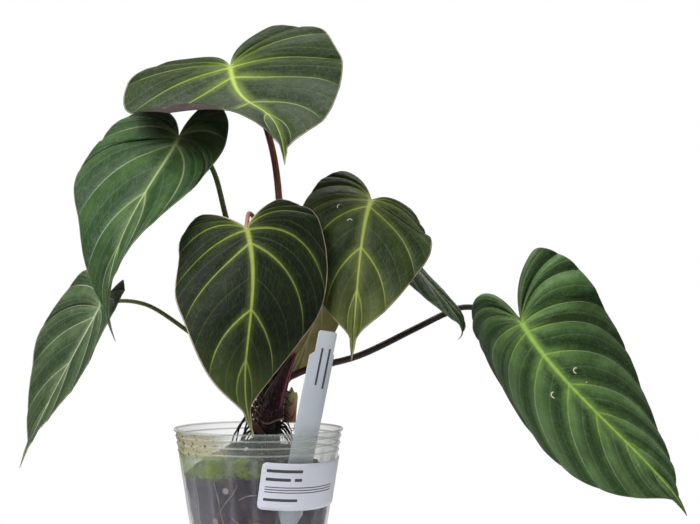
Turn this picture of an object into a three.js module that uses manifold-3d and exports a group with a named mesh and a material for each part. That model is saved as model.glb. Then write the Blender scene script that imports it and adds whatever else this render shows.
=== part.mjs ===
// A young potted philodendron: eight heart-shaped leaves on long stalks, in a clear nursery pot.
// Millimetres, +Z up. The origin is the centre of the pot's base and the front faces -Y.
import * as THREE from "three";
import { mergeVertices } from "three/addons/utils/BufferGeometryUtils.js";
import Module from "manifold-3d";

const wasm = await Module();
wasm.setup();

// Driving dimensions

const clearance = 0.35; // left between pieces that touch
const pot = {
  height: 106,
  baseRadius: 42.4,
  rimRadius: 60,
  taper: 0.158, // growth of the radius for each millimetre of height
  wall: 1,
  base: 1.6,
  ribs: 20,
  ribDepth: 0.5,
  ribTop: 86,
  grooves: [90.6, 95.7, 100.8],
  grooveDepth: 0.6,
  grooveHalfWidth: 1.2,
  lipHeight: 2.2,
  footInset: 0.8, // the round edge under the pot
  footHeight: 1.5,
  bandExtra: 0.4, // the wall is this much thicker below the grooved band
};
const soil = {
  edgeLevel: 73,
  moundHeight: 25,
  bump: 1.1,
  segments: 40,
  rings: [0.3, 0.62, 0.88, 1],
  slotDepth: 14, // outwards from the tag, past the mix's side
};
const moss = {
  from: -72, // degrees round the pot from the front, positive to the right
  to: 8,
  depth: 17, // from the wall towards the middle
  gap: 1.4, // left to the wall
  sunk: 3, // how far it is set into the mix before it is cut by it
  height: 5.5,
  edge: 2.2,
};
const stem = {
  // centre and radius at each level, from the foot in the soil to the growing point
  rings: [
    [4, 0, 52, 4.5],
    [4.5, 0, 70, 6.6],
    [5, 0, 92, 7.4],
    [5.5, 0, 97, 9.4],
    [6, 0, 103, 10.6],
    [6.5, 0, 110, 9.8],
    [7, 0.5, 118, 9],
    [8, 1, 127, 7.6],
    [9.5, 2, 137, 6.4],
    [11.5, 3, 147, 5],
    [12.5, 3.5, 153, 3.6],
  ],
  sides: 10,
};
// The wiry roots that arch from the stem's foot into the mix:
// direction in degrees from the right, reach, level at the stem and highest level
const roots = [
  [178, 23, 111, 118],
  [189, 28, 107, 112],
  [166, 18, 113, 120],
  [200, 22, 104, 108],
  [218, 27, 102, 104],
  [242, 24, 101, 103],
  [268, 27, 100, 103],
  [292, 25, 101, 104],
  [317, 24, 102, 106],
  [341, 20, 104, 107],
  [4, 21, 105, 109],
  [32, 26, 103, 106],
  [75, 26, 102, 105],
  [122, 27, 102, 106],
];
const rootRadii = [0.96, 0.56]; // at the stem and at the tip
const rootLift = 0.45; // the roots and the moss are cut this far above the mix
const darkSheath = { foot: 112, tip: [26, -7, 159], footCentre: [7.4, 0], radius: 11, halfAngle: 62 };
const paleSheath = { foot: 109, height: 25, centre: [21.5, 9], radius: 4.6, halfAngle: 78 };
const dryStrip = { from: [-6, -16.5, 112.5], to: [4.5, -19.5, 101.5], width: 4.6 };
const tag = {
  // the centre line of the stake, inside the pot's wall and leaning to the right
  foot: [20.6, -38.5, 34],
  top: [48.9, -45.7, 176],
  width: 19.4,
  headWidth: 14.6,
  headLength: 15,
  headInset: 1, // the head's right edge stands back from the stake's
  bevel: 1.2,
  pointLength: 16,
  pointWidth: 4,
  thickness: 0.8,
  normal: [0.53, -0.85, 0],
};
const label = { width: 88, height: 33.2, level: 68.1, turn: 49.5, thickness: 0.5, corner: 3.5, offset: 1.15 };
const bladeThickness = 0.7;
const sheathThickness = 0.8;

// The vein pattern of a small blade, one value for each side vein from the sinus to the tip:
// where it leaves the midrib and where it meets the margin, as shares of their lengths,
// and how far it bows away from the tip.
const smallPattern = {
  veins: 7,
  starts: [0, 0, 0, 0.01, 0.07, 0.38, 0.62, 1],
  ends: [0, 0.12, 0.24, 0.385, 0.53, 0.67, 0.78, 1],
  bows: [0, 0.22, 0.35, 0.36, 0.24, 0.2, 0.2, 0.1],
};
const largePattern = {
  veins: 10,
  starts: [0, 0, 0, 0.01, 0.05, 0.16, 0.3, 0.43, 0.57, 0.71, 1],
  ends: [0, 0.1, 0.2, 0.3, 0.4, 0.5, 0.6, 0.68, 0.75, 0.82, 1],
  bows: [0, 0.2, 0.32, 0.36, 0.3, 0.24, 0.22, 0.2, 0.2, 0.18, 0.1],
};

// The leaves. Pairs are for the left and right half of a blade, seen on its upper face with the tip down.
//   spine: four points that draw the midrib from the stalk to the tip
//   faces: where the upper face looks, at the stalk and at the tip
//   length: along the midrib; half: half widths; lobe: how far the lobes reach back
//   foldBase, foldTip: angle that each half is raised by; curl: how far its edge turns down
//   droop: how far the lobe bends down
//   outline: crown and waist as shares of the half width, widest and drip as shares of the length
//   route: the stalk's points from the stem to just short of the blade
//   notched: the stalk comes through the notch between the lobes; the others end under the blade
const leaves = [
  {
    name: "top",
    spine: [[-22, 30.5, 365.5], [-13, -20.5, 318.5], [16.5, -47.5, 345], [22, -101.5, 287.5]],
    faces: [[-0.27, -0.68, 0.69], [0.62, -0.55, 0.56]],
    length: 162,
    half: [81, 78],
    lobe: [35, 43],
    foldBase: [0.01, -0.05],
    foldTip: [0.04, 0.29],
    curl: [-0.21, -0.05],
    droop: [0.59, 0.35],
    outline: { crown: 0.37, widest: 0.18, waist: 0.77, drip: 0.89, sinus: 0.26 },
    pattern: smallPattern,
    pleat: 1.6,
    wave: 1.5,
    stalk: [2.9, 2.1],
    route: [[12.6, 3.8, 153.7], [15, 8, 215], [14, 12, 270.5], [8.3, 20, 307.6], [-3, 30, 338]],
  },
  {
    name: "upper_left",
    spine: [[-56.5, -3.5, 312], [-63, -16.5, 289.5], [-116, -63.5, 228.5], [-96.5, -44.5, 169]],
    faces: [[-0.15, -0.84, 0.52], [-0.77, -0.49, -0.41]],
    length: 163,
    half: [70, 36.5],
    lobe: [36, 34.5],
    foldBase: [-0.24, 0.12],
    foldTip: [0.15, 0.59],
    curl: [0.05, 0.37],
    droop: [0.43, -0.02],
    outline: { crown: 0.42, widest: 0.23, waist: 0.66, drip: 0.87, sinus: 0.19 },
    pattern: smallPattern,
    pleat: 1.4,
    wave: 1,
    stalk: [2.3, 1.6],
    route: [[4.2, 5.6, 147], [-10, 9, 205], [-23.8, 9, 256], [-33, 11, 289], [-45, 10, 307]],
  },
  {
    name: "lower_left",
    spine: [[-113, 4.5, 191.5], [-130, 1.5, 159], [-154, 5, 119.5], [-168.5, -8, 78]],
    faces: [[-0.78, -0.44, 0.45], [-0.76, -0.49, 0.42]],
    length: 127.5,
    half: [48, 45],
    lobe: [22, 23],
    foldBase: [0.16, 0.23],
    foldTip: [0.16, 0.18],
    curl: [-0.28, 0.21],
    droop: [0.35, 0.09],
    outline: { crown: 0.51, widest: 0.21, waist: 0.72, drip: 0.85, sinus: 0.17 },
    pattern: smallPattern,
    pleat: 1.3,
    wave: 0.8,
    stalk: [2, 1.3],
    route: [[0.2, 2.7, 131.5], [-26, 8, 156], [-51.4, 12, 174.2], [-80.7, 13, 192.7], [-101, 11, 195.5]],
  },
  {
    name: "front",
    spine: [[-6, -51.5, 247], [9.5, -74.5, 197.5], [-17, -78.5, 149.5], [0.5, -71.5, 105.5]],
    faces: [[-0.06, -0.91, 0.41], [0.33, -0.94, -0.02]],
    length: 146.5,
    half: [56, 55.5],
    lobe: [27, 23],
    foldBase: [-0.06, -0.13],
    foldTip: [0.11, -0.57],
    curl: [0.53, 0.41],
    droop: [0.5, 0.52],
    outline: { crown: 0.46, widest: 0.18, waist: 0.74, drip: 0.85, sinus: 0.05 },
    pattern: smallPattern,
    pleat: 0.9,
    wave: 0.6,
    stalk: [2, 1.4],
    route: [[8.5, -5.6, 141], [7, -22, 200], [1, -35, 249], [-4.5, -43, 257]],
    notched: true,
  },
  {
    name: "right",
    spine: [[80, -13, 267], [71.5, -28.5, 249], [69.5, -36.5, 195], [66, -40, 155]],
    faces: [[0.16, -0.78, 0.61], [-0.28, -0.95, 0.1]],
    length: 118,
    half: [51, 50],
    lobe: [28, 24.5],
    foldBase: [-0.15, -0.2],
    foldTip: [0.12, 0.3],
    curl: [0.5, 0.36],
    droop: [0.3, 0.76],
    outline: { crown: 0.49, widest: 0.23, waist: 0.73, drip: 0.85, sinus: 0.12 },
    pattern: smallPattern,
    pleat: 1.1,
    wave: 1,
    stalk: [2.1, 1.4],
    route: [[17.5, -1, 147], [27, -4, 172], [33, -8, 190], [53, -1, 231], [74, -1, 266]],
  },
  {
    name: "far_right",
    spine: [[187.5, 9.5, 181], [212, -6, 133], [288.5, -20.5, 78], [300.5, -23.5, 46]],
    faces: [[-0.34, -0.93, 0.13], [0.5, -0.82, 0.27]],
    length: 180,
    half: [60, 64.5],
    lobe: [51.5, 45],
    foldBase: [-0.11, -0.17],
    foldTip: [-0.33, -0.56],
    curl: [1.19, 0.64],
    droop: [0.82, 0.17],
    outline: { crown: 0.47, widest: 0.23, waist: 0.77, drip: 0.86, sinus: 0.2 },
    pattern: largePattern,
    pleat: 1.7,
    wave: 1.2,
    stalk: [2.6, 1.9],
    route: [[16.8, 5.1, 139], [34.7, 13, 146.6], [70.7, 28, 155.4], [110.7, 44, 173.7], [134, 54, 184.8],
      [147.4, 60, 189.7], [159, 61, 189.7], [170.3, 51, 187.7], [179.9, 34, 185]],
  },
  {
    name: "rear_right",
    spine: [[97, 25, 242.5], [112, 13.5, 213], [156, 3.5, 179], [142, 2, 168.5]],
    faces: [[0.82, -0.24, 0.52], [0.6, -0.26, -0.76]],
    length: 93.5,
    half: [37.5, 37.5],
    lobe: [20, 20],
    foldBase: [-0.07, -0.03],
    foldTip: [0.15, 0.11],
    curl: [0.32, 0.23],
    droop: [0.3, 0.3],
    outline: { crown: 0.52, widest: 0.22, waist: 0.72, drip: 0.86, sinus: 0.15 },
    pattern: smallPattern,
    pleat: 0.9,
    wave: 0.6,
    stalk: [2, 1.3],
    route: [[17.2, 8, 149], [24, 3, 164], [37.5, -3, 189], [48, 2.5, 202], [66, 20, 222], [80, 28, 237],
      [90.5, 29, 243.5]],
  },
  {
    name: "back",
    spine: [[52, 42.5, 216], [51.5, 27.5, 216], [31.5, 35, 152.5], [15, 21.5, 129]],
    faces: [[-0.89, 0.01, 0.45], [-0.58, 0.81, -0.06]],
    length: 99.5,
    half: [39, 39],
    lobe: [20, 20],
    foldBase: [-0.06, -0.1],
    foldTip: [0.07, 0],
    curl: [0.28, 0.4],
    droop: [0.3, 0.3],
    outline: { crown: 0.52, widest: 0.21, waist: 0.71, drip: 0.86, sinus: 0.15 },
    pattern: smallPattern,
    pleat: 0.9,
    wave: 0.6,
    stalk: [2, 1.3],
    route: [[9, 10.6, 143], [14, 36, 168], [26, 62, 196], [42, 70, 213], [51, 60, 217]],
    notched: true,
  },
];

// Helpers

const vector = (xyz) => new THREE.Vector3(...xyz);
const mix = THREE.MathUtils.lerp;
const radians = THREE.MathUtils.degToRad;

// reads a row of evenly spaced values at a place from 0 to 1
function sample(values, place) {
  const at = place * (values.length - 1);
  const low = Math.min(Math.floor(at), values.length - 2);
  return mix(values[low], values[low + 1], at - low);
}

// a repeatable number from 0 to 1 for each whole number
function scatter(number) {
  const value = Math.sin(number * 12.9898 + 4.1414) * 43758.5453;
  return value - Math.floor(value);
}

// a smooth curve through flat points, with a given direction at its start
function smoothThrough(points, place, startDirection) {
  const last = points.length - 1;
  const at = place * last;
  const low = Math.min(Math.floor(at), last - 1);
  const share = at - low;
  const tangent = (index) => {
    const before = points[Math.max(index - 1, 0)];
    const after = points[Math.min(index + 1, last)];
    const step = index === 0 || index === last ? 1 : 0.5;
    const slope = after.clone().sub(before).multiplyScalar(step);
    return index === 0 ? startDirection.clone().setLength(slope.length()) : slope;
  };
  const square = share * share;
  const cube = square * share;
  return points[low].clone().multiplyScalar(2 * cube - 3 * square + 1)
    .addScaledVector(tangent(low), cube - 2 * square + share)
    .addScaledVector(points[low + 1], 3 * square - 2 * cube)
    .addScaledVector(tangent(low + 1), cube - square);
}

// a closed geometry from corner points and triangles
function bodyFrom(points, triangles) {
  const geometry = new THREE.BufferGeometry();
  geometry.setAttribute("position", new THREE.Float32BufferAttribute(points.flatMap((p) => p.toArray()), 3));
  geometry.setIndex(triangles.flat());
  return geometry;
}

// joins two open sheets with the same triangles into a closed body, with walls along their edges
function shell(upper, lower, triangles) {
  const edges = new Map();
  for (const [a, b, c] of triangles) {
    for (const [from, to] of [[a, b], [b, c], [c, a]]) {
      if (!edges.delete(`${to} ${from}`)) edges.set(`${from} ${to}`, [from, to]);
    }
  }
  const count = upper.length;
  const faces = [...triangles, ...triangles.map(([a, b, c]) => [a + count, c + count, b + count])];
  for (const [from, to] of edges.values()) {
    faces.push([to, from, from + count], [to, from + count, to + count]);
  }
  return bodyFrom([...upper, ...lower], faces);
}

// gives an open sheet a thickness
function thicken({ points, triangles }, thickness) {
  const normals = points.map(() => new THREE.Vector3());
  for (const corners of triangles) {
    const [a, b, c] = corners.map((index) => points[index]);
    const normal = b.clone().sub(a).cross(c.clone().sub(a));
    for (const index of corners) normals[index].add(normal);
  }
  const shifted = (distance) => points.map((p, i) =>
    p.clone().addScaledVector(normals[i].clone().normalize(), distance));
  return shell(shifted(thickness / 2), shifted(-thickness / 2), triangles);
}

// an open sheet of points, row by row; its upper face looks along (row direction) x (column direction)
function grid(rows, columns, pointAt) {
  const points = [];
  const triangles = [];
  for (let row = 0; row <= rows; row++) {
    for (let column = 0; column <= columns; column++) points.push(pointAt(row / rows, column / columns));
  }
  for (let row = 0; row < rows; row++) {
    for (let column = 0; column < columns; column++) {
      const a = row * (columns + 1) + column;
      const b = a + columns + 1;
      triangles.push([a, b, b + 1], [a, b + 1, a + 1]);
    }
  }
  return { points, triangles };
}

// a closed body from rings of points, each with the same number of corners, anticlockwise seen from the last
function loft(rings) {
  const sides = rings[0].length;
  const points = rings.flat();
  const centre = (ring) => ring.reduce((sum, p) => sum.add(p), new THREE.Vector3()).divideScalar(sides);
  const foot = points.push(centre(rings[0])) - 1;
  const head = points.push(centre(rings.at(-1))) - 1;
  const triangles = [];
  for (let side = 0; side < sides; side++) {
    const next = (side + 1) % sides;
    for (let ring = 0; ring < rings.length - 1; ring++) {
      const a = ring * sides;
      const b = a + sides;
      triangles.push([a + side, a + next, b + next], [a + side, b + next, b + side]);
    }
    const top = (rings.length - 1) * sides;
    triangles.push([foot, next, side], [head, top + side, top + next]);
  }
  return bodyFrom(points, triangles);
}

// a round rod along a smooth path, with its radius at the start and at the end
function rod(route, [startRadius, endRadius], sides, steps) {
  const path = new THREE.CatmullRomCurve3(route.map(vector), false, "centripetal");
  const frames = path.computeFrenetFrames(steps, false);
  const rings = [];
  for (let step = 0; step <= steps; step++) {
    const centre = path.getPointAt(step / steps);
    const radius = mix(startRadius, endRadius, step / steps);
    const ring = [];
    for (let side = 0; side < sides; side++) {
      const turn = 2 * Math.PI * side / sides;
      ring.push(centre.clone()
        .addScaledVector(frames.normals[step], radius * Math.cos(turn))
        .addScaledVector(frames.binormals[step], radius * Math.sin(turn)));
    }
    rings.push(ring);
  }
  return loft(rings);
}

function toSolid(geometry) {
  const bare = geometry.clone();
  bare.deleteAttribute("normal");
  bare.deleteAttribute("uv");
  const merged = mergeVertices(bare, 1e-4);
  return new wasm.Manifold(new wasm.Mesh({
    numProp: 3,
    vertProperties: new Float32Array(merged.attributes.position.array),
    triVerts: new Uint32Array(merged.index.array),
  }));
}

function fromSolid(solid) {
  const mesh = solid.getMesh();
  const geometry = new THREE.BufferGeometry();
  geometry.setAttribute("position", new THREE.BufferAttribute(mesh.vertProperties, 3));
  geometry.setIndex(new THREE.BufferAttribute(mesh.triVerts, 1));
  return geometry;
}

// The pot

const potRadius = (z) => pot.baseRadius + pot.taper * z;
const innerRadius = (z) => potRadius(z) - pot.wall;

// one ring round the pot's axis; every third corner lies on a rib
function potRing(z, radius, ribDepth = 0) {
  const corners = pot.ribs * 3;
  return Array.from({ length: corners }, (_, corner) => {
    const turn = 2 * Math.PI * corner / corners;
    const reach = radius + (corner % 3 === 0 ? ribDepth : 0);
    return new THREE.Vector3(reach * Math.sin(turn), -reach * Math.cos(turn), z);
  });
}

function potBody() {
  const rings = [
    potRing(0, pot.baseRadius - pot.footInset),
    potRing(pot.footHeight, potRadius(pot.footHeight), pot.ribDepth),
    potRing(pot.ribTop, potRadius(pot.ribTop), pot.ribDepth),
  ];
  for (const z of pot.grooves) {
    rings.push(potRing(z - pot.grooveHalfWidth, potRadius(z)));
    rings.push(potRing(z, potRadius(z) + pot.grooveDepth));
    rings.push(potRing(z + pot.grooveHalfWidth, potRadius(z)));
  }
  const lip = pot.height - pot.lipHeight;
  const bandFoot = pot.grooves[0] - 2 * pot.grooveHalfWidth;
  rings.push(potRing(lip, potRadius(lip)));
  rings.push(potRing(lip + 0.4, pot.rimRadius));
  rings.push(potRing(pot.height, pot.rimRadius));
  rings.push(potRing(pot.height, innerRadius(pot.height)));
  rings.push(potRing(bandFoot, innerRadius(bandFoot) - pot.bandExtra));
  rings.push(potRing(pot.base, innerRadius(pot.base)));
  return loft(rings);
}

// The potting mix

const soilRadius = (z) => innerRadius(z) - pot.bandExtra - 1.5 * clearance;

function soilLevel(x, y) {
  const share = Math.min(Math.hypot(x, y) / soilRadius(soil.edgeLevel), 1);
  const swell = Math.sin(x * 0.31 + 1.3) * Math.cos(y * 0.27 - 0.6);
  const ripple = Math.sin(x * 0.73 - y * 0.41);
  return soil.edgeLevel + soil.moundHeight * (1 - share ** 1.6) + soil.bump * (swell + 0.4 * ripple);
}

function soilMound() {
  const rimLevel = soil.edgeLevel;
  const ring = (share, level) => Array.from({ length: soil.segments }, (_, corner) => {
    const turn = 2 * Math.PI * corner / soil.segments;
    const reach = share * soilRadius(rimLevel);
    const x = reach * Math.sin(turn);
    const y = -reach * Math.cos(turn);
    return new THREE.Vector3(x, y, level ?? soilLevel(x, y));
  });
  const floor = pot.base + clearance;
  const footRing = ring(soilRadius(floor) / soilRadius(rimLevel), floor);
  const topRings = [...soil.rings].reverse().map((share) => ring(share));
  return toSolid(loft([footRing, ...topRings]));
}

function soilBody() {
  return fromSolid(soilMound().subtract(toSolid(stemBody(clearance))).subtract(toSolid(tagSlot())));
}

// A low cushion of moss on the mix along the front left of the wall

function mossBody() {
  const place = (along, across, lift) => {
    const reach = soilRadius(soil.edgeLevel) - moss.gap - moss.depth * across;
    const turn = radians(mix(moss.from, moss.to, along));
    const x = reach * Math.sin(turn);
    const y = -reach * Math.cos(turn);
    return new THREE.Vector3(x, y, soilLevel(x, y) + lift);
  };
  const cushion = (along, across) => {
    const edge = Math.sin(Math.PI * along) ** 0.5 * (1 - across ** 2);
    const tuft = 0.6 + 0.4 * Math.abs(Math.sin(along * 15 + across * 5));
    return moss.height * edge * tuft + moss.edge;
  };
  const top = grid(16, 6, (along, across) => place(along, across, cushion(along, across)));
  const foot = grid(16, 6, (along, across) => place(along, across, -moss.sunk));
  const cushions = toSolid(shell(top.points, foot.points, top.triangles));
  return fromSolid(cushions.subtract(soilMound().translate([0, 0, rootLift])));
}

// The stem, knobbly where old leaves have dropped, with its wiry roots

function stemBody(extra = 0) {
  const rings = stem.rings.map(([x, y, z, radius], level) =>
    Array.from({ length: stem.sides }, (_, side) => {
      const turn = 2 * Math.PI * side / stem.sides;
      const knob = 1 + 0.07 * (scatter(level * 31 + side * 7) - 0.5);
      const reach = radius * knob + extra;
      return new THREE.Vector3(x + reach * Math.cos(turn), y + reach * Math.sin(turn), z);
    }));
  rings[0].forEach((p) => { p.z -= extra; });
  return loft(rings);
}

function rootRoute([direction, reach, startLevel, peakLevel]) {
  const [x, y] = stem.rings[4];
  const at = (distance, turn, level) => {
    const angle = radians(direction + turn);
    return [x + distance * Math.cos(angle), y + distance * Math.sin(angle), level];
  };
  const foot = at(reach, 12, 0);
  const rest = soilLevel(foot[0], foot[1]) - 3;
  return [at(5, 0, startLevel), at(0.5 * reach, -4, peakLevel), at(0.82 * reach, 4, mix(rest, peakLevel, 0.6)),
    [foot[0], foot[1], rest]];
}

function stemWithRoots() {
  let wires = toSolid(rod(rootRoute(roots[0]), rootRadii, 5, 7));
  for (const root of roots.slice(1)) {
    wires = wires.add(toSolid(rod(rootRoute(root), rootRadii, 5, 7)));
  }
  return fromSolid(wires.subtract(soilMound().translate([0, 0, rootLift])).add(toSolid(stemBody())));
}

// The sheaths round the stem

function darkSheathBody() {
  const { foot, tip, footCentre, radius, halfAngle } = darkSheath;
  const surface = grid(9, 8, (up, round) => {
    const narrowing = (1 - up) ** 0.75;
    const turn = radians(halfAngle) * (2 * round - 1) * mix(1, 0.75, up);
    const lean = up ** 1.3;
    const reach = radius * narrowing + 0.9;
    return new THREE.Vector3(
      mix(footCentre[0], tip[0], lean) + reach * Math.sin(turn),
      mix(footCentre[1], tip[1], lean) - reach * Math.cos(turn),
      mix(foot, tip[2], up) - 2.5 * (1 - up) * Math.cos(2 * turn),
    );
  });
  return thicken(surface, sheathThickness);
}

function paleSheathBody() {
  const { foot, height, centre, radius, halfAngle } = paleSheath;
  const surface = grid(4, 5, (up, round) => {
    const turn = radians(halfAngle) * (2 * round - 1);
    const crown = 1 - 0.25 * up * Math.abs(2 * round - 1);
    return new THREE.Vector3(
      centre[0] + radius * Math.sin(turn) + 1.5 * up,
      centre[1] - radius * Math.cos(turn),
      foot + height * up * crown,
    );
  });
  return thicken(surface, sheathThickness);
}

function dryStripBody() {
  const from = vector(dryStrip.from);
  const to = vector(dryStrip.to);
  const across = to.clone().sub(from).cross(new THREE.Vector3(0, -1, 0)).normalize();
  const surface = grid(5, 3, (along, round) => {
    const half = dryStrip.width / 2 * Math.sin(Math.PI * mix(0.22, 0.86, along));
    return from.clone().lerp(to, along)
      .addScaledVector(across, half * (2 * round - 1))
      .add(new THREE.Vector3(0, 1.6 * Math.abs(2 * round - 1) - 2 * Math.sin(Math.PI * along), 0));
  });
  return thicken(surface, sheathThickness);
}

// The blades

// the outer margin of one half from the lobe's crown to the tip, x across and y towards the tip
function marginPoints(leaf, half) {
  const { crown, widest, waist, drip } = leaf.outline;
  const width = leaf.half[half];
  const shoulder = widest + 0.33;
  const shares = [
    [crown, -1],
    [Math.min(crown + 0.3, 0.93), -0.8],
    [0.93, -0.28],
    [1, widest],
    [0.955, widest + 0.16],
    [waist, shoulder],
    [waist * 0.6, mix(shoulder, drip, 0.55)],
    [0.085, drip],
    [0.03, mix(drip, 1, 0.5)],
    [0, 1],
  ];
  return shares.map(([x, y]) => new THREE.Vector2(x * width, y * (y < 0 ? leaf.lobe[half] : leaf.length)));
}

// the middle control point of a bowed line from one flat point to another
function bowed(from, to, bow) {
  const run = to.clone().sub(from);
  return from.clone().lerp(to, 0.5).add(new THREE.Vector2(run.y, -run.x).multiplyScalar(bow));
}

// a flat point of the blade: vein 0 is the sinus edge and 1 the tip, out 0 is the midrib and 1 the margin
function flatPoint(leaf, half, vein, out) {
  const { starts, ends, bows } = leaf.pattern;
  const margin = marginPoints(leaf, half);
  const attachment = new THREE.Vector2(0, 0);
  const crownControl = bowed(attachment, margin[0], leaf.outline.sinus);
  const startDirection = margin[0].clone().sub(crownControl);
  const end = smoothThrough(margin, sample(ends, vein), startDirection);
  const start = new THREE.Vector2(0, leaf.length * sample(starts, vein));
  const control = bowed(start, end, sample([leaf.outline.sinus, ...bows.slice(1)], vein));
  return new THREE.QuadraticBezierCurve(start, control, end).getPoint(out);
}

// bends a flat point of one half into its place in space, raised by lift from the blade's own surface
function bend(leaf, half, flat, lift) {
  const side = half === 0 ? -1 : 1;
  const share = THREE.MathUtils.clamp(flat.y / leaf.length, 0, 1);
  const midrib = new THREE.CubicBezierCurve3(...leaf.spine.map(vector));
  const centre = midrib.getPoint(share);
  const [p0, p1, p2, p3] = leaf.spine.map(vector);
  const along = p1.clone().sub(p0).multiplyScalar((1 - share) ** 2)
    .addScaledVector(p2.clone().sub(p1), 2 * share * (1 - share))
    .addScaledVector(p3.clone().sub(p2), share ** 2).normalize();
  const up = vector(leaf.faces[0]).lerp(vector(leaf.faces[1]), share);
  up.addScaledVector(along, -up.dot(along)).normalize();
  const across = up.clone().cross(along);

  // the half blade rises by its fold at the midrib and turns down by its curl towards the margin
  const width = leaf.half[half];
  const fold = mix(leaf.foldBase[half], leaf.foldTip[half], share);
  const curl = leaf.curl[half];
  const slope = fold - curl * flat.x / width;
  const reach = width / curl * (Math.sin(fold) - Math.sin(slope));
  const rise = width / curl * (Math.cos(slope) - Math.cos(fold));

  // behind the stalk the lobe bends down on its own arc
  const back = Math.max(-flat.y, 0);
  const bendAngle = leaf.droop[half] * back / leaf.lobe[half];
  const arc = leaf.lobe[half] / leaf.droop[half];
  centre.addScaledVector(along, -arc * Math.sin(bendAngle));
  centre.addScaledVector(up, -arc * (1 - Math.cos(bendAngle)));
  const lobeUp = up.clone().multiplyScalar(Math.cos(bendAngle)).addScaledVector(along, -Math.sin(bendAngle));
  return centre
    .addScaledVector(across, side * reach - side * lift * Math.sin(slope))
    .addScaledVector(lobeUp, rise + lift * Math.cos(slope));
}

// the blade bulges up between its sunken veins, and its margin waves
function bladeLift(leaf, half, vein, out) {
  const grip = Math.min(out / 0.25, 1) * (1 - 0.5 * out) * Math.min((1 - vein) / 0.15, 1);
  const bulge = Math.abs(Math.sin(Math.PI * leaf.pattern.veins * vein)) - 0.5;
  const wave = Math.sin(2 * Math.PI * (2.5 * vein + 0.3 * half)) * out ** 3 * Math.min((1 - vein) / 0.3, 1);
  return leaf.pleat * bulge * grip + leaf.wave * wave;
}

function bladeBody(leaf) {
  const lines = leaf.pattern.veins * 4;
  const steps = 4;
  const points = [];
  const places = new Map();
  const triangles = [];
  const corner = (half, line, step) => {
    const flat = flatPoint(leaf, half, line / lines, step / steps);
    const key = `${(step === 0 ? 0 : flat.x * (half ? 1 : -1)).toFixed(3)} ${flat.y.toFixed(3)}`;
    if (!places.has(key)) {
      places.set(key, points.length);
      points.push(bend(leaf, half, flat, bladeLift(leaf, half, line / lines, step / steps)));
    }
    return places.get(key);
  };
  for (const half of [0, 1]) {
    for (let line = 0; line < lines; line++) {
      for (let step = 0; step < steps; step++) {
        const a = corner(half, line, step);
        const b = corner(half, line, step + 1);
        const c = corner(half, line + 1, step + 1);
        const d = corner(half, line + 1, step);
        const pair = half === 0 ? [[a, b, c], [a, c, d]] : [[a, d, c], [a, c, b]];
        triangles.push(...pair.filter(([i, j, k]) => i !== j && j !== k && i !== k));
      }
    }
  }
  return thicken({ points, triangles }, bladeThickness);
}

// a stalk ends where the midrib begins, just under the blade or in its notch
function stalkBody(leaf) {
  const up = vector(leaf.faces[0]);
  const along = vector(leaf.spine[1]).sub(vector(leaf.spine[0])).normalize();
  up.addScaledVector(along, -up.dot(along)).normalize();
  const room = leaf.stalk[1] + bladeThickness / 2 + clearance;
  const end = vector(leaf.spine[0]);
  if (leaf.notched) end.addScaledVector(along, -1.5 * room);
  else end.addScaledVector(up, -room).addScaledVector(along, -0.5);
  return rod([...leaf.route, end.toArray()], leaf.stalk, 6, 14);
}

// The plant tag: a narrow head, a wide stake and a pointed foot

function tagBasis() {
  const foot = vector(tag.foot);
  const up = vector(tag.top).sub(foot).normalize();
  const out = vector(tag.normal);
  out.addScaledVector(up, -out.dot(up)).normalize();
  return new THREE.Matrix4().makeBasis(up.clone().cross(out), up, out).setPosition(foot);
}

function tagBody() {
  const length = vector(tag.foot).distanceTo(vector(tag.top));
  const half = tag.width / 2;
  const shoulder = length - tag.headLength;
  const headRight = half - tag.headInset;
  const headLeft = headRight - tag.headWidth;
  const outline = [
    [-tag.pointWidth / 2, 0],
    [tag.pointWidth / 2, 0],
    [half, tag.pointLength],
    [half, shoulder - tag.bevel],
    [headRight, shoulder],
    [headRight, length - tag.bevel],
    [headRight - tag.bevel, length],
    [headLeft + tag.bevel, length],
    [headLeft, length - tag.bevel],
    [headLeft, shoulder],
    [-half, shoulder - 2.5 * tag.bevel],
    [-half, tag.pointLength],
  ];
  const shape = new THREE.Shape(outline.map(([x, y]) => new THREE.Vector2(x, y)));
  const geometry = new THREE.ExtrudeGeometry(shape, { depth: tag.thickness, bevelEnabled: false });
  geometry.translate(0, 0, -tag.thickness / 2);
  return geometry.applyMatrix4(tagBasis());
}

// the room that the mix leaves for the tag, open towards the wall
function tagSlot() {
  const width = tag.width + 2 * clearance;
  const length = vector(tag.foot).distanceTo(vector(tag.top));
  const depth = tag.thickness + clearance + soil.slotDepth;
  const slot = new THREE.BoxGeometry(width, length + 2 * clearance, depth);
  slot.translate(0, length / 2, depth / 2 - tag.thickness / 2 - clearance);
  return slot.applyMatrix4(tagBasis());
}

// The white label on the pot's right front, with round corners

function labelBody() {
  // a flat sheet rolled on the cone of the wall: lean is the wall's slope, apart the distance to its apex
  const lean = Math.atan(pot.taper);
  const apart = (potRadius(label.level) + label.offset) / Math.sin(lean);
  const surface = grid(20, 6, (along, up) => {
    const distance = along * label.width;
    const toEnd = Math.min(distance, label.width - distance);
    const cut = toEnd < label.corner
      ? label.corner - Math.sqrt(label.corner ** 2 - (label.corner - toEnd) ** 2)
      : 0;
    const across = distance - label.width / 2;
    const slant = apart + mix(cut, label.height - cut, up) - label.height / 2;
    const reach = Math.hypot(across, slant);
    const turn = radians(label.turn) + Math.atan2(across, slant) / Math.sin(lean);
    const radius = reach * Math.sin(lean);
    const z = label.level + (reach - apart) * Math.cos(lean);
    return new THREE.Vector3(radius * Math.sin(turn), -radius * Math.cos(turn), z);
  });
  return thicken(surface, label.thickness);
}

// The scene graph

const plant = new THREE.Group();

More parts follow.
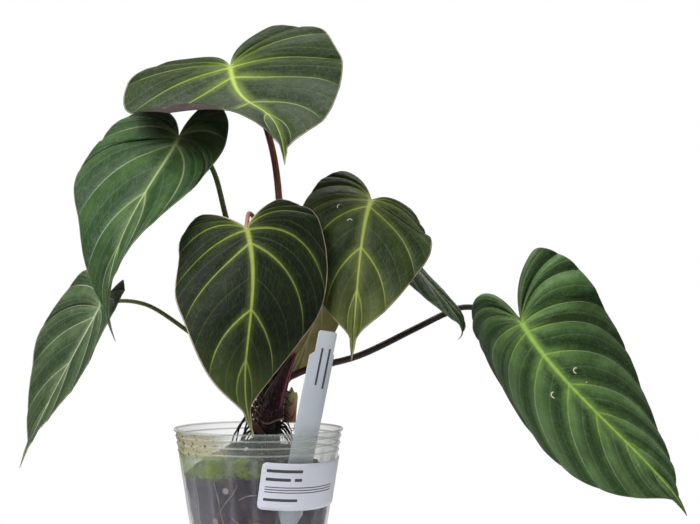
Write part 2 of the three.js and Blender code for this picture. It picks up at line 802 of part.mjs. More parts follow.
function add(name, geometry, color, roughness, extras = {}) {
  const material = new THREE.MeshStandardMaterial({ color, roughness, metalness: 0, ...extras });
  const mesh = new THREE.Mesh(geometry, material);
  mesh.name = name;
  plant.add(mesh);
}

add("pot", potBody(), 0xc9cfcb, 0.25, { transparent: true, opacity: 0.45 });
add("substrate", soilBody(), 0x3a3033, 0.95);
add("moss", mossBody(), 0x5d7d2c, 0.95);
add("stem", stemWithRoots(), 0x241418, 0.8);
add("sheath_dark", darkSheathBody(), 0x3a121c, 0.55);
add("sheath_pale", paleSheathBody(), 0xb98f70, 0.6);
add("sheath_dry", dryStripBody(), 0x5a3a30, 0.85);

const stalkColors = {
  top: 0x6b3b30, upper_left: 0x46502a, lower_left: 0x48502c, front: 0x8a5a50,
  right: 0x4a4a2c, far_right: 0x2b2f22, rear_right: 0x46502a, back: 0x5a4a34,
};
const bladeColors = {
  top: 0x41543a, upper_left: 0x3c6a35, lower_left: 0x47623f, front: 0x1f2c1f,
  right: 0x2c3d24, far_right: 0x2f5a2c, rear_right: 0x26401f, back: 0x7a7040,
};
for (const leaf of leaves) {
  add(`petiole_${leaf.name}`, stalkBody(leaf), stalkColors[leaf.name], 0.6);
  add(`blade_${leaf.name}`, bladeBody(leaf), bladeColors[leaf.name], 0.5);
}

add("plant_tag", tagBody(), 0xd6dde2, 0.4);
add("pot_label", labelBody(), 0xe9ecf2, 0.45);

export default plant;
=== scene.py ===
# %% [markdown]
# # A young philodendron in a clear nursery pot
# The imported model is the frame: every solid already stands in its place, in metres, with the pot's base
# at the origin. This lesson dresses that frame. Each leaf, stalk and root is built again with a finer mesh
# that keeps the solid's form, and every surface gets a finish made of nodes.

# %% Load the frame
import math

import bpy
import numpy as np
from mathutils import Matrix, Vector, noise


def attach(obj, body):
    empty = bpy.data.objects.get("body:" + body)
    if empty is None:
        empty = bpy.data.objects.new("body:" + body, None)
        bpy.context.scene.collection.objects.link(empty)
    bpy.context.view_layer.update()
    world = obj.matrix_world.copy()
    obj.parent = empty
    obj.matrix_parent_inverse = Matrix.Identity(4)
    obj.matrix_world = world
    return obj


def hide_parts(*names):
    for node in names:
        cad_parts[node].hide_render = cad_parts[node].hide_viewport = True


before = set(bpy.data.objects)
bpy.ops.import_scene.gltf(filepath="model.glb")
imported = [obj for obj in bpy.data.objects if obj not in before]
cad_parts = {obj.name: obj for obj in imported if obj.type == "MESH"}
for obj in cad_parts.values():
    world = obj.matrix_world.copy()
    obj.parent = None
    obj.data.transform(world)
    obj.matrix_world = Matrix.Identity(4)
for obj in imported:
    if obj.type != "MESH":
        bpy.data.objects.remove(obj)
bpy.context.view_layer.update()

MM = 0.001
print("solids in the frame:", len(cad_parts))

# %% [markdown]
# ## The camera, the light and the floor
# The photograph was taken level, from well back, with a long lens, on a plain white ground under soft light.
# A lens of 102.4 mm on a 36 mm sensor, 1.415 m in front of the pot, gives the same perspective. Four area
# lamps and a white world make the soft light: a large lamp has soft shadows, as a soft box has.

# %% Camera
camera_data = bpy.data.cameras.new("camera")
camera_data.lens = 102.4
camera_data.sensor_width = 36
camera = bpy.data.objects.new("camera", camera_data)
camera.location = (65 * MM, -1415 * MM, 223.5 * MM)
camera.rotation_euler = (math.radians(90), 0, 0)
bpy.context.scene.collection.objects.link(camera)
bpy.context.scene.camera = camera
bpy.context.scene.view_settings.view_transform = "Standard"
print("camera at", tuple(round(v, 3) for v in camera.location))


# %% Lamps and world
def soft_lamp(name, place, target, size, power):
    """a square area lamp that looks from place to target, in metres and watts"""
    lamp_data = bpy.data.lights.new(name, "AREA")
    lamp_data.size = size
    lamp_data.energy = power
    lamp = bpy.data.objects.new(name, lamp_data)
    lamp.location = place
    lamp.rotation_euler = (Vector(target) - Vector(place)).to_track_quat("-Z", "Y").to_euler()
    bpy.context.scene.collection.objects.link(lamp)


plant_middle = (0.05, 0, 0.22)
soft_lamp("key lamp", (-0.75, -0.9, 1.45), plant_middle, 1.3, 38)
soft_lamp("side lamp", (1.3, -0.7, 0.6), plant_middle, 0.7, 3)
soft_lamp("top lamp", (0.1, 0.6, 1.5), plant_middle, 0.8, 9)
soft_lamp("rear lamp", (0.4, 1.3, 0.7), plant_middle, 0.7, 3)
# the background looks pure white, but sheds only a sixth of that light on the plant
world = bpy.data.worlds.new("white studio")
world.use_nodes = True
sky = world.node_tree.nodes["Background"]
seen = world.node_tree.nodes.new("ShaderNodeLightPath")
level = world.node_tree.nodes.new("ShaderNodeMapRange")
level.inputs["To Min"].default_value = 0.17
level.inputs["To Max"].default_value = 1.0
world.node_tree.links.new(seen.outputs["Is Camera Ray"], level.inputs["Value"])
world.node_tree.links.new(level.outputs[0], sky.inputs["Strength"])
sky.inputs["Color"].default_value = (1, 1, 1, 1)
bpy.context.scene.world = world

# %% [markdown]
# ## Small tools for meshes
# Most pieces here are grids of points that follow a rule, so one helper turns arrays of points and faces
# into a mesh in metres. It also stores what the finishes need: UV maps on the corners and values on points.


# %% Mesh helper
def make_piece(name, points, faces, uv_maps=None, values=None):
    """a mesh object from points in millimetres, with UV maps for each corner and values for each point"""
    mesh = bpy.data.meshes.new(name)
    mesh.from_pydata((np.asarray(points) * MM).tolist(), [], faces)
    for map_name, corners in (uv_maps or {}).items():
        layer = mesh.uv_layers.new(name=map_name)
        layer.data.foreach_set("uv", np.asarray(corners, np.float32).ravel())
    for value_name, numbers in (values or {}).items():
        layer = mesh.attributes.new(value_name, "FLOAT", "POINT")
        layer.data.foreach_set("value", np.asarray(numbers, np.float32))
    mesh.shade_smooth()
    mesh.update()
    piece = bpy.data.objects.new(name, mesh)
    bpy.context.scene.collection.objects.link(piece)
    return piece


def turns_of(sides):
    """evenly spaced angles of one whole turn"""
    return np.linspace(0, 2 * np.pi, sides + 1)[:-1]


def round_axis(reach, turn, z=0):
    """a point at a distance from the pot's axis; a turn of 0 faces the camera and a quarter turn +X"""
    return np.array((reach * math.sin(turn), -reach * math.cos(turn), z))


def floor_piece():
    """a round white table top, 0.56 m across"""
    count = 96
    rings = [50, 100, 160, 220, 280]
    points = [(0, 0, 0)] + [round_axis(reach, turn) for reach in rings for turn in turns_of(count)]
    faces = [(1 + i, 1 + (i + 1) % count, 0) for i in range(count)]
    for ring in range(len(rings) - 1):
        for i in range(count):
            inner = 1 + ring * count
            outer = inner + count
            j = (i + 1) % count
            faces.append((inner + i, outer + i, outer + j, inner + j))
    return make_piece("floor", points, faces)


floor = floor_piece()
print("floor faces:", len(floor.data.polygons))

# %% [markdown]
# ## Small tools for finishes
# A finish is a tree of nodes, and a long formula takes many Math nodes. A Wire stands for the output of a
# node, and knows how to be added, multiplied and so on. So a mask is written here as plain arithmetic, and
# each sign in it becomes one node. The other helpers add one kind of node each.


# %% Node helpers
class Wire:
    """the output of a node; each sign of a formula with it adds one Math node to the same tree"""

    def __init__(self, socket):
        self.socket = socket

    def __add__(self, other):
        return math_node("ADD", self, other)

    def __sub__(self, other):
        return math_node("SUBTRACT", self, other)

    def __rsub__(self, other):
        return math_node("SUBTRACT", other, self)

    def __mul__(self, other):
        return math_node("MULTIPLY", self, other)

    def __truediv__(self, other):
        return math_node("DIVIDE", self, other)

    def __pow__(self, other):
        return math_node("POWER", self, other)

    def __gt__(self, other):
        return math_node("GREATER_THAN", self, other)

    def __lt__(self, other):
        return math_node("LESS_THAN", self, other)

    def __abs__(self):
        return math_node("ABSOLUTE", self)


def feed(sockets, values):
    """leads a wire into each named or numbered socket, or sets the socket to a plain value"""
    for label, value in values.items():
        if isinstance(value, Wire):
            value.socket.id_data.links.new(value.socket, sockets[label])
        else:
            sockets[label].default_value = value


def add_node(tree, kind, sockets=None, **settings):
    made = tree.nodes.new(kind)
    for name, value in settings.items():
        setattr(made, name, value)
    feed(made.inputs, sockets or {})
    return made


def read(tree, kind, sockets=None, output=0, **settings):
    """adds a node and gives one of its outputs as a wire"""
    return Wire(add_node(tree, kind, sockets, **settings).outputs[output])


def tree_of(*values):
    """the tree of the first wire among the values"""
    return next(value.socket.id_data for value in values if isinstance(value, Wire))


def wires_of(node):
    return {socket.name: Wire(socket) for socket in node.outputs}


def math_node(operation, *values):
    return read(tree_of(*values), "ShaderNodeMath", dict(enumerate(values)), operation=operation)


def vector_node(operation, *values, output=0):
    sockets = dict(enumerate(values))
    return read(tree_of(*values), "ShaderNodeVectorMath", sockets, output, operation=operation)


def smooth_step(value, start, end):
    """0 before start, 1 after end, and smooth between them; start may be the larger one"""
    sockets = {"Value": value, "From Min": start, "From Max": end}
    return read(tree_of(value), "ShaderNodeMapRange", sockets, interpolation_type="SMOOTHSTEP")


def steps_of(value, stops):
    """a grey ramp through (place, value) stops"""
    ramp = add_node(tree_of(value), "ShaderNodeValToRGB", {"Fac": value})
    elements = ramp.color_ramp.elements
    while len(elements) < len(stops):
        elements.new(0.5)
    for element, (place, grey) in zip(elements, stops):
        element.position = place
        element.color = (grey, grey, grey, 1)
    return Wire(ramp.outputs["Color"])


def paint(code):
    """a colour of the screen, such as "4a5a2c", as the linear colour that Blender uses"""
    shares = [int(code[i:i + 2], 16) / 255 for i in (0, 2, 4)]
    return tuple(c / 12.92 if c <= 0.04045 else ((c + 0.055) / 1.055) ** 2.4 for c in shares) + (1,)


def mix_paint(share, first, second, how="MIX"):
    """the first colour, and the second one where the share is 1; a colour may be given by its code"""
    first, second = (paint(color) if isinstance(color, str) else color for color in (first, second))
    sockets = {0: share, 6: first, 7: second}
    return read(tree_of(share, first), "ShaderNodeMix", sockets, 2, data_type="RGBA", blend_type=how)


def layered(color, *layers):
    """lays each (share, colour) over the colours before it"""
    for share, over in layers:
        color = mix_paint(share, color, over)
    return color


def shaded(color, shade):
    """the colour with its three parts multiplied by the shade"""
    grey = read(tree_of(shade), "ShaderNodeCombineColor", {0: shade, 1: shade, 2: shade})
    return mix_paint(1.0, color, grey, "MULTIPLY")


def cloudy(place, scale, detail=3.0, roughness=0.55):
    sockets = {"Vector": place, "Scale": scale, "Detail": detail, "Roughness": roughness}
    return read(tree_of(place), "ShaderNodeTexNoise", sockets, "Fac")


def object_place(tree):
    return read(tree, "ShaderNodeTexCoord", output="Object")


def uv_place(tree, name):
    return read(tree, "ShaderNodeUVMap", uv_map=name)


def axes_of(vector):
    """the x, y and z of a vector"""
    made = add_node(tree_of(vector), "ShaderNodeSeparateXYZ", {0: vector})
    return [Wire(socket) for socket in made.outputs]


def new_group(name, inputs, outputs, family="Shader"):
    """a group, the wires that enter it and the sockets that end it; a socket is (name, kind, start value)"""
    tree = bpy.data.node_groups.new(name, f"{family}NodeTree")
    for side, sockets in (("INPUT", inputs), ("OUTPUT", outputs)):
        for label, kind, *start in sockets:
            made = tree.interface.new_socket(label, in_out=side, socket_type=f"NodeSocket{kind}")
            if start:
                made.default_value = start[0]
    return tree, wires_of(tree.nodes.new("NodeGroupInput")), tree.nodes.new("NodeGroupOutput").inputs


def place_group(tree, group, values):
    made = add_node(tree, "ShaderNodeGroup")
    made.node_tree = group
    feed(made.inputs, values)
    return wires_of(made)


def new_finish(name, **plain):
    """a material with one Principled shader; plain values are set on the shader's own sockets"""
    finish = bpy.data.materials.new(name)
    finish.use_nodes = True
    shader = finish.node_tree.nodes["Principled BSDF"]
    feed(shader.inputs, {label.replace("_", " "): value for label, value in plain.items()})
    return finish, finish.node_tree, shader


def add_bump(shader, height, distance, strength):
    sockets = {"Height": height, "Distance": distance, "Strength": strength}
    feed(shader.inputs, {"Normal": read(tree_of(height), "ShaderNodeBump", sockets, "Normal")})


floor_finish, floor_tree, floor_shader = new_finish("pale floor", Roughness=0.9, Specular_IOR_Level=0.1)
floor_grey = mix_paint(cloudy(object_place(floor_tree), 2.0), "fafafa", "ffffff")
feed(floor_shader.inputs, {"Base Color": floor_grey})
floor.data.materials.append(floor_finish)
print("floor finish:", floor_finish.name)

# %% [markdown]
# ## The leaves
# A philodendron blade is one sheet: a heart with two lobes behind the stalk, a drawn out drip tip, and
# side veins that start near the stalk and sweep in bows to the margin. Each half is drawn flat first, as a
# grid whose lines follow the veins, because then the pleats and the vein colours can follow them too.
# The flat half is then folded at the midrib, curled towards its margin and laid along a curved midrib.

# %% Leaf sizes, in millimetres and radians
SMALL_PATTERN = {
    "veins": 7,
    "starts": [0, 0, 0, 0.01, 0.07, 0.38, 0.62, 1],
    "ends": [0, 0.12, 0.24, 0.385, 0.53, 0.67, 0.78, 1],
    "bows": [0, 0.22, 0.35, 0.36, 0.24, 0.2, 0.2, 0.1],
}
LARGE_PATTERN = {
    "veins": 10,
    "starts": [0, 0, 0, 0.01, 0.05, 0.16, 0.3, 0.43, 0.57, 0.71, 1],
    "ends": [0, 0.1, 0.2, 0.3, 0.4, 0.5, 0.6, 0.68, 0.75, 0.82, 1],
    "bows": [0, 0.2, 0.32, 0.36, 0.3, 0.24, 0.22, 0.2, 0.2, 0.18, 0.1],
}
# outline: the crown's and the waist's place as shares of the half width, the widest place and the drip
# tip's start as shares of the length, and how far the sinus edge bows
LEAVES = {
    "top": dict(
        spine=[(-22, 30.5, 365.5), (-13, -20.5, 318.5), (16.5, -47.5, 345), (22, -101.5, 287.5)],
        faces=[(-0.27, -0.68, 0.69), (0.62, -0.55, 0.56)], length=162, half=(81, 78), lobe=(35, 43),
        fold_base=(0.01, -0.05), fold_tip=(0.04, 0.29), curl=(-0.21, -0.05), droop=(0.59, 0.35),
        outline=(0.37, 0.18, 0.77, 0.89, 0.26), pattern=SMALL_PATTERN, pleat=1.6, wave=1.5, stalk=(2.9, 2.1),
        route=[(12.6, 3.8, 153.7), (15, 8, 215), (14, 12, 270.5), (8.3, 20, 307.6), (-3, 30, 338)]),
    "upper_left": dict(
        spine=[(-56.5, -3.5, 312), (-63, -16.5, 289.5), (-116, -63.5, 228.5), (-96.5, -44.5, 169)],
        faces=[(-0.15, -0.84, 0.52), (-0.77, -0.49, -0.41)], length=163, half=(70, 36.5), lobe=(36, 34.5),
        fold_base=(-0.24, 0.12), fold_tip=(0.15, 0.59), curl=(0.05, 0.37), droop=(0.43, -0.02),
        outline=(0.42, 0.23, 0.66, 0.87, 0.19), pattern=SMALL_PATTERN, pleat=1.4, wave=1, stalk=(2.3, 1.6),
        route=[(4.2, 5.6, 147), (-10, 9, 205), (-23.8, 9, 256), (-33, 11, 289), (-45, 10, 307)]),
    "lower_left": dict(
        spine=[(-113, 4.5, 191.5), (-130, 1.5, 159), (-154, 5, 119.5), (-168.5, -8, 78)],
        faces=[(-0.78, -0.44, 0.45), (-0.76, -0.49, 0.42)], length=127.5, half=(48, 45), lobe=(22, 23),
        fold_base=(0.16, 0.23), fold_tip=(0.16, 0.18), curl=(-0.28, 0.21), droop=(0.35, 0.09),
        outline=(0.51, 0.21, 0.72, 0.85, 0.17), pattern=SMALL_PATTERN, pleat=1.3, wave=0.8, stalk=(2, 1.3),
        route=[(0.2, 2.7, 131.5), (-26, 8, 156), (-51.4, 12, 174.2), (-80.7, 13, 192.7), (-101, 11, 195.5)]),
    "front": dict(
        spine=[(-6, -51.5, 247), (9.5, -74.5, 197.5), (-17, -78.5, 149.5), (0.5, -71.5, 105.5)],
        faces=[(-0.06, -0.91, 0.41), (0.33, -0.94, -0.02)], length=146.5, half=(56, 55.5), lobe=(27, 23),
        fold_base=(-0.06, -0.13), fold_tip=(0.11, -0.57), curl=(0.53, 0.41), droop=(0.5, 0.52),
        outline=(0.46, 0.18, 0.74, 0.85, 0.05), pattern=SMALL_PATTERN, pleat=0.9, wave=0.6, stalk=(2, 1.4),
        route=[(8.5, -5.6, 141), (7, -22, 200), (1, -35, 249), (-4.5, -43, 257)]),
    "right": dict(
        spine=[(80, -13, 267), (71.5, -28.5, 249), (69.5, -36.5, 195), (66, -40, 155)],
        faces=[(0.16, -0.78, 0.61), (-0.28, -0.95, 0.1)], length=118, half=(51, 50), lobe=(28, 24.5),
        fold_base=(-0.15, -0.2), fold_tip=(0.12, 0.3), curl=(0.5, 0.36), droop=(0.3, 0.76),
        outline=(0.49, 0.23, 0.73, 0.85, 0.12), pattern=SMALL_PATTERN, pleat=1.1, wave=1, stalk=(2.1, 1.4),
        route=[(17.5, -1, 147), (27, -4, 172), (33, -8, 190), (53, -1, 231), (74, -1, 266)]),
    "far_right": dict(
        spine=[(187.5, 9.5, 181), (212, -6, 133), (288.5, -20.5, 78), (300.5, -23.5, 46)],
        faces=[(-0.34, -0.93, 0.13), (0.5, -0.82, 0.27)], length=180, half=(60, 64.5), lobe=(51.5, 45),
        fold_base=(-0.11, -0.17), fold_tip=(-0.33, -0.56), curl=(1.19, 0.64), droop=(0.82, 0.17),
        outline=(0.47, 0.23, 0.77, 0.86, 0.2), pattern=LARGE_PATTERN, pleat=1.7, wave=1.2, stalk=(2.6, 1.9),
        route=[(16.8, 5.1, 139), (34.7, 13, 146.6), (70.7, 28, 155.4), (110.7, 44, 173.7), (134, 54, 184.8),
               (147.4, 60, 189.7), (159, 61, 189.7), (170.3, 51, 187.7), (179.9, 34, 185)]),
    "rear_right": dict(
        spine=[(97, 25, 242.5), (112, 13.5, 213), (156, 3.5, 179), (142, 2, 168.5)],
        faces=[(0.82, -0.24, 0.52), (0.6, -0.26, -0.76)], length=93.5, half=(37.5, 37.5), lobe=(20, 20),
        fold_base=(-0.07, -0.03), fold_tip=(0.15, 0.11), curl=(0.32, 0.23), droop=(0.3, 0.3),
        outline=(0.52, 0.22, 0.72, 0.86, 0.15), pattern=SMALL_PATTERN, pleat=0.9, wave=0.6, stalk=(2, 1.3),
        route=[(17.2, 8, 149), (24, 3, 164), (37.5, -3, 189), (48, 2.5, 202), (66, 20, 222), (80, 28, 237),
               (90.5, 29, 243.5)]),
    "back": dict(
        spine=[(52, 42.5, 216), (51.5, 27.5, 216), (31.5, 35, 152.5), (15, 21.5, 129)],
        faces=[(-0.89, 0.01, 0.45), (-0.58, 0.81, -0.06)], length=99.5, half=(39, 39), lobe=(20, 20),
        fold_base=(-0.06, -0.1), fold_tip=(0.07, 0), curl=(0.28, 0.4), droop=(0.3, 0.3),
        outline=(0.52, 0.21, 0.71, 0.86, 0.15), pattern=SMALL_PATTERN, pleat=0.9, wave=0.6, stalk=(2, 1.3),
        route=[(9, 10.6, 143), (14, 36, 168), (26, 62, 196), (42, 70, 213), (51, 60, 217)]),
}
print("leaves:", ", ".join(LEAVES))

# %% [markdown]
# ### From the outline to a flat grid
# The margin of one half is a smooth curve through ten points. A point of the grid has two addresses: which
# vein it lies on (0 is the sinus edge, 1 the tip) and how far out it lies (0 is the midrib, 1 the margin).


# %% Flat half of a blade
def sample(values, place):
    """reads evenly spaced values at places from 0 to 1"""
    return np.interp(place, np.linspace(0, 1, len(values)), values)


def margin_points(leaf, half):
    crown, widest, waist, drip, _ = leaf["outline"]
    shoulder = widest + 0.33
    shares = np.array([
        (crown, -1), (min(crown + 0.3, 0.93), -0.8), (0.93, -0.28), (1, widest), (0.955, widest + 0.16),
        (waist, shoulder), (waist * 0.6, shoulder + (drip - shoulder) * 0.55), (0.085, drip),
        (0.03, (1 + drip) / 2), (0, 1)])
    lengths = np.where(shares[:, 1] < 0, leaf["lobe"][half], leaf["length"])
    return np.column_stack([shares[:, 0] * leaf["half"][half], shares[:, 1] * lengths])


def hermite(t, start, leave, end, arrive):
    """a smooth curve from start to end that leaves and arrives with the given slopes"""
    return (start * (2 * t ** 3 - 3 * t ** 2 + 1) + leave * (t ** 3 - 2 * t ** 2 + t)
            + end * (3 * t ** 2 - 2 * t ** 3) + arrive * (t ** 3 - t ** 2))


def bow_control(start, end, bow):
    run = end - start
    return (start + end) / 2 + bow[..., None] * np.stack([run[..., 1], -run[..., 0]], -1)


def margin_curve(leaf, half, place):
    """points of the smooth margin at places from 0, the lobe's crown, to 1, the tip"""
    points = margin_points(leaf, half)
    slopes = np.empty_like(points)
    slopes[1:-1] = (points[2:] - points[:-2]) / 2
    slopes[-1] = points[-1] - points[-2]
    crown = points[0]
    start = crown - bow_control(np.zeros(2), crown, np.array(leaf["outline"][4]))
    slopes[0] = start / np.linalg.norm(start) * np.linalg.norm(points[1] - points[0])
    at = place * (len(points) - 1)
    low = np.minimum(at.astype(int), len(points) - 2)
    t = (at - low)[..., None]
    return hermite(t, points[low], slopes[low], points[low + 1], slopes[low + 1])


def flat_half(leaf, half, vein, out):
    """flat points of one half: x from the midrib, y from the stalk to the tip"""
    pattern = leaf["pattern"]
    end = margin_curve(leaf, half, sample(pattern["ends"], vein))
    start = np.stack([np.zeros_like(vein), leaf["length"] * sample(pattern["starts"], vein)], -1)
    bows = [leaf["outline"][4]] + pattern["bows"][1:]
    control = bow_control(start, end, sample(bows, vein))
    q = out[..., None]
    return (1 - q) ** 2 * start + 2 * q * (1 - q) * control + q ** 2 * end


check = flat_half(LEAVES["front"], 1, np.array([0.5]), np.array([1.0]))[0]
print("front blade, middle of the right margin:", check.round(1), "mm")

# %% [markdown]
# ### From the flat grid to the hanging blade
# The midrib is a Bezier curve in space, and the upper face looks in a direction that turns from the stalk
# to the tip. The lift adds the relief: the sheet bulges between its sunken veins and waves at its margin.


# %% Bend a flat half into space
def unit(vectors):
    return vectors / np.linalg.norm(vectors, axis=-1, keepdims=True)


def bend_half(leaf, half, flat, lift):
    side = (-1, 1)[half]
    share = np.clip(flat[..., 1] / leaf["length"], 0, 1)[..., None]
    p0, p1, p2, p3 = np.array(leaf["spine"], float)
    rest = 1 - share
    centre = rest ** 3 * p0 + 3 * rest ** 2 * share * p1 + 3 * rest * share ** 2 * p2 + share ** 3 * p3
    along = unit(rest ** 2 * (p1 - p0) + 2 * rest * share * (p2 - p1) + share ** 2 * (p3 - p2))
    faces = np.array(leaf["faces"])
    up = faces[0] * rest + faces[1] * share
    up = unit(up - (up * along).sum(-1, keepdims=True) * along)
    across = np.cross(up, along)

    width = leaf["half"][half]
    curl = leaf["curl"][half]
    fold = leaf["fold_base"][half] * rest + leaf["fold_tip"][half] * share
    slope = fold - curl * flat[..., :1] / width
    reach = width / curl * (np.sin(fold) - np.sin(slope))
    rise = width / curl * (np.cos(slope) - np.cos(fold))

    droop = leaf["droop"][half]
    arc = leaf["lobe"][half] / droop
    turn = np.maximum(-flat[..., 1:], 0) / arc
    centre = centre - arc * np.sin(turn) * along - arc * (1 - np.cos(turn)) * up
    lobe_up = up * np.cos(turn) - along * np.sin(turn)
    lift = lift[..., None]
    return (centre + across * side * (reach - lift * np.sin(slope))
            + lobe_up * (rise + lift * np.cos(slope)))


PLEAT_SCALE = 1.4
MARGIN_WAVES = 2.5
MARGIN_CRIMPS = 23
CRIMP_RISE = 0.07


def blade_lift(leaf, half, vein, out):
    """the rise of the sheet: pleats between the veins, then slow waves and a fine crimp at the margin"""
    grip = np.minimum(out / 0.25, 1) * (1 - 0.5 * out) * np.minimum((1 - vein) / 0.15, 1)
    bulge = np.abs(np.sin(np.pi * leaf["pattern"]["veins"] * vein)) ** 0.8 - 0.5
    fade = np.minimum((1 - vein) / 0.3, 1)
    wave = np.sin(2 * np.pi * (MARGIN_WAVES * vein + 0.3 * half)) * out ** 3 * fade
    crimp = np.sin(2 * np.pi * MARGIN_CRIMPS * vein + 3 * half) * out ** 6 * fade
    return PLEAT_SCALE * leaf["pleat"] * bulge * grip + leaf["wave"] * wave + CRIMP_RISE * crimp


print("lift at the middle of the front blade:",
      blade_lift(LEAVES["front"], 1, np.array(0.5), np.array(0.5)).round(2), "mm")

# %% [markdown]
# ### From one sheet to a blade with a thickness
# A single sheet has no edge, so it looks like paper cut with a knife. The blade gets two faces half a
# millimetre apart and a rounded edge between them. Each point also stores its distances, in millimetres,
# to the midrib and the margin, and the space between veins, so that the finish can draw veins whose width
# doesn't depend on the grid.

# %% Blade builder
BLADE_THICKNESS = 0.5
LINES_PER_VEIN = 18
STEPS_OUT = 46
MATCHES_PER_MM = 500
FLAT_MAP_MM = 250


def blade_grid(leaf, half):
    lines = leaf["pattern"]["veins"] * LINES_PER_VEIN
    vein, out = np.meshgrid(np.linspace(0, 1, lines + 1), np.linspace(0, 1, STEPS_OUT + 1), indexing="ij")
    flat = flat_half(leaf, half, vein, out)
    space = bend_half(leaf, half, flat, blade_lift(leaf, half, vein, out))
    step_vein = np.gradient(flat, 1 / lines, axis=0)
    step_out = unit(np.gradient(flat, 1 / STEPS_OUT, axis=1) + 1e-9)
    span = np.abs(step_vein[..., 0] * step_out[..., 1] - step_vein[..., 1] * step_out[..., 0])
    edge = np.concatenate([margin_curve(leaf, half, np.linspace(0, 1, 900)),
                           flat_half(leaf, half, np.zeros(200), np.linspace(0, 1, 200))])
    margin = np.array([np.sqrt(((line[:, None] - edge) ** 2).sum(-1).min(1)) for line in flat])
    return dict(vein=vein, out=out, flat=flat, space=space, span=span, margin=margin)


def build_blade(name, leaf):
    # the points of both halves, side by side, then one point for each place that both have
    grids, corners, offset = [], [], 0
    for half in (0, 1):
        grid = blade_grid(leaf, half)
        grid["flat"] = grid["flat"] * ((-1, 1)[half], 1)
        grid["flat"][:, 0, 0] = 0
        lines, steps = grid["vein"].shape
        index = np.arange(lines * steps).reshape(lines, steps) + offset
        quad = [index[:-1, :-1], index[:-1, 1:], index[1:, 1:], index[1:, :-1]]
        corners.append(np.stack(quad if half == 0 else quad[::-1], -1).reshape(-1, 4))
        offset += lines * steps
        grids.append({key: table.reshape(-1, *table.shape[2:]) for key, table in grid.items()})
    both = {key: np.concatenate([grid[key] for grid in grids]) for key in grids[0]}
    keys = np.round(both["flat"] * MATCHES_PER_MM).astype(int)
    _, first, place = np.unique(keys, axis=0, return_index=True, return_inverse=True)
    place = place.ravel()
    corners = np.concatenate(corners)
    outs, veins = both["out"], both["vein"]
    space, flat, span, margin = (both[key][first] for key in ("space", "flat", "span", "margin"))

    faces, maps = [], []
    for corner in corners:
        kept, uv = [], []
        for c in corner:
            if not kept or place[c] != kept[-1]:
                kept.append(int(place[c]))
                uv.append((outs[c], veins[c]))
        if kept[0] == kept[-1]:
            kept.pop()
            uv.pop()
        if len(set(kept)) == len(kept) > 2:
            faces.append(tuple(kept))
            maps.append(uv)

    normals = np.zeros_like(space)
    for face in faces:
        a, b, c = space[face[0]], space[face[1]], space[face[-1]]
        normals[list(face)] += np.cross(b - a, c - a)
    normals = unit(normals)
    half_thick = BLADE_THICKNESS / 2
    upper = space + normals * half_thick
    lower = space - normals * half_thick

    border = {}
    for face, uv in zip(faces, maps):
        for k in range(len(face)):
            a, b = face[k], face[(k + 1) % len(face)]
            if (b, a) in border:
                del border[(b, a)]
            else:
                border[(a, b)] = (uv[k], uv[(k + 1) % len(face)])
    outward = {}
    for a, b in border:
        push = np.cross(unit(space[b] - space[a]), normals[a])
        for c in (a, b):
            outward[c] = outward.get(c, 0) + push
    rim = {c: i for i, c in enumerate(outward)}
    rim_points = np.array([space[c] + unit(push) * half_thick for c, push in outward.items()])

    count = len(space)
    points = np.concatenate([upper, lower, rim_points])
    all_faces = list(faces) + [tuple(c + count for c in face[::-1]) for face in faces]
    all_maps = list(maps) + [uv[::-1] for uv in maps]
    for (a, b), (uv_a, uv_b) in border.items():
        rim_a, rim_b = 2 * count + rim[a], 2 * count + rim[b]
        all_faces += [(b, a, rim_a, rim_b), (rim_b, rim_a, a + count, b + count)]
        all_maps += [(uv_b, uv_a, uv_a, uv_b)] * 2
    rim_list = list(rim)

    def on_all(table):
        """the values of the upper face, the lower face and the rim"""
        return np.concatenate([table, table, table[rim_list]])

    flat_all = on_all(flat)
    under = np.concatenate([np.zeros(count), np.ones(count), np.full(len(rim_list), 0.5)])
    values = {"span": on_all(span), "margin": on_all(margin), "rib": np.abs(flat_all[:, 0]),
              "along": flat_all[:, 1] / leaf["length"], "under": under}
    uv_flat = [flat_all[c] / FLAT_MAP_MM + 0.5 for face in all_faces for c in face]
    uv_vein = [uv for face in all_maps for uv in face]
    return make_piece(name, points, all_faces, {"veins": uv_vein, "flat": uv_flat}, values)


blades = {name: build_blade(f"leaf_{name}", leaf) for name, leaf in LEAVES.items()}
print("blade faces:", {name: len(blade.data.polygons) for name, blade in blades.items()})

# %% [markdown]
# ### The finish of a blade
# The upper face is velvety: very dark between the veins, paler beside them, with lime veins and a thin
# pale margin. The lower face is matt with raised veins. All blades share one group of nodes, which draws the
# veins from the stored distances, and each blade's material gives it its own colours.

# %% Leaf skin group
LEAF_COLORS = ("Deep", "Halo", "Vein", "Midrib", "Tip", "Under", "Under Vein", "Rim")
LEAF_NUMBERS = ("Gloss", "Vein Share", "Vein Width", "Halo Reach", "Relief", "Band", "Glow", "Tip Share")
RIB_WIDTH = 2.6
FAINT_SHARE = 0.35


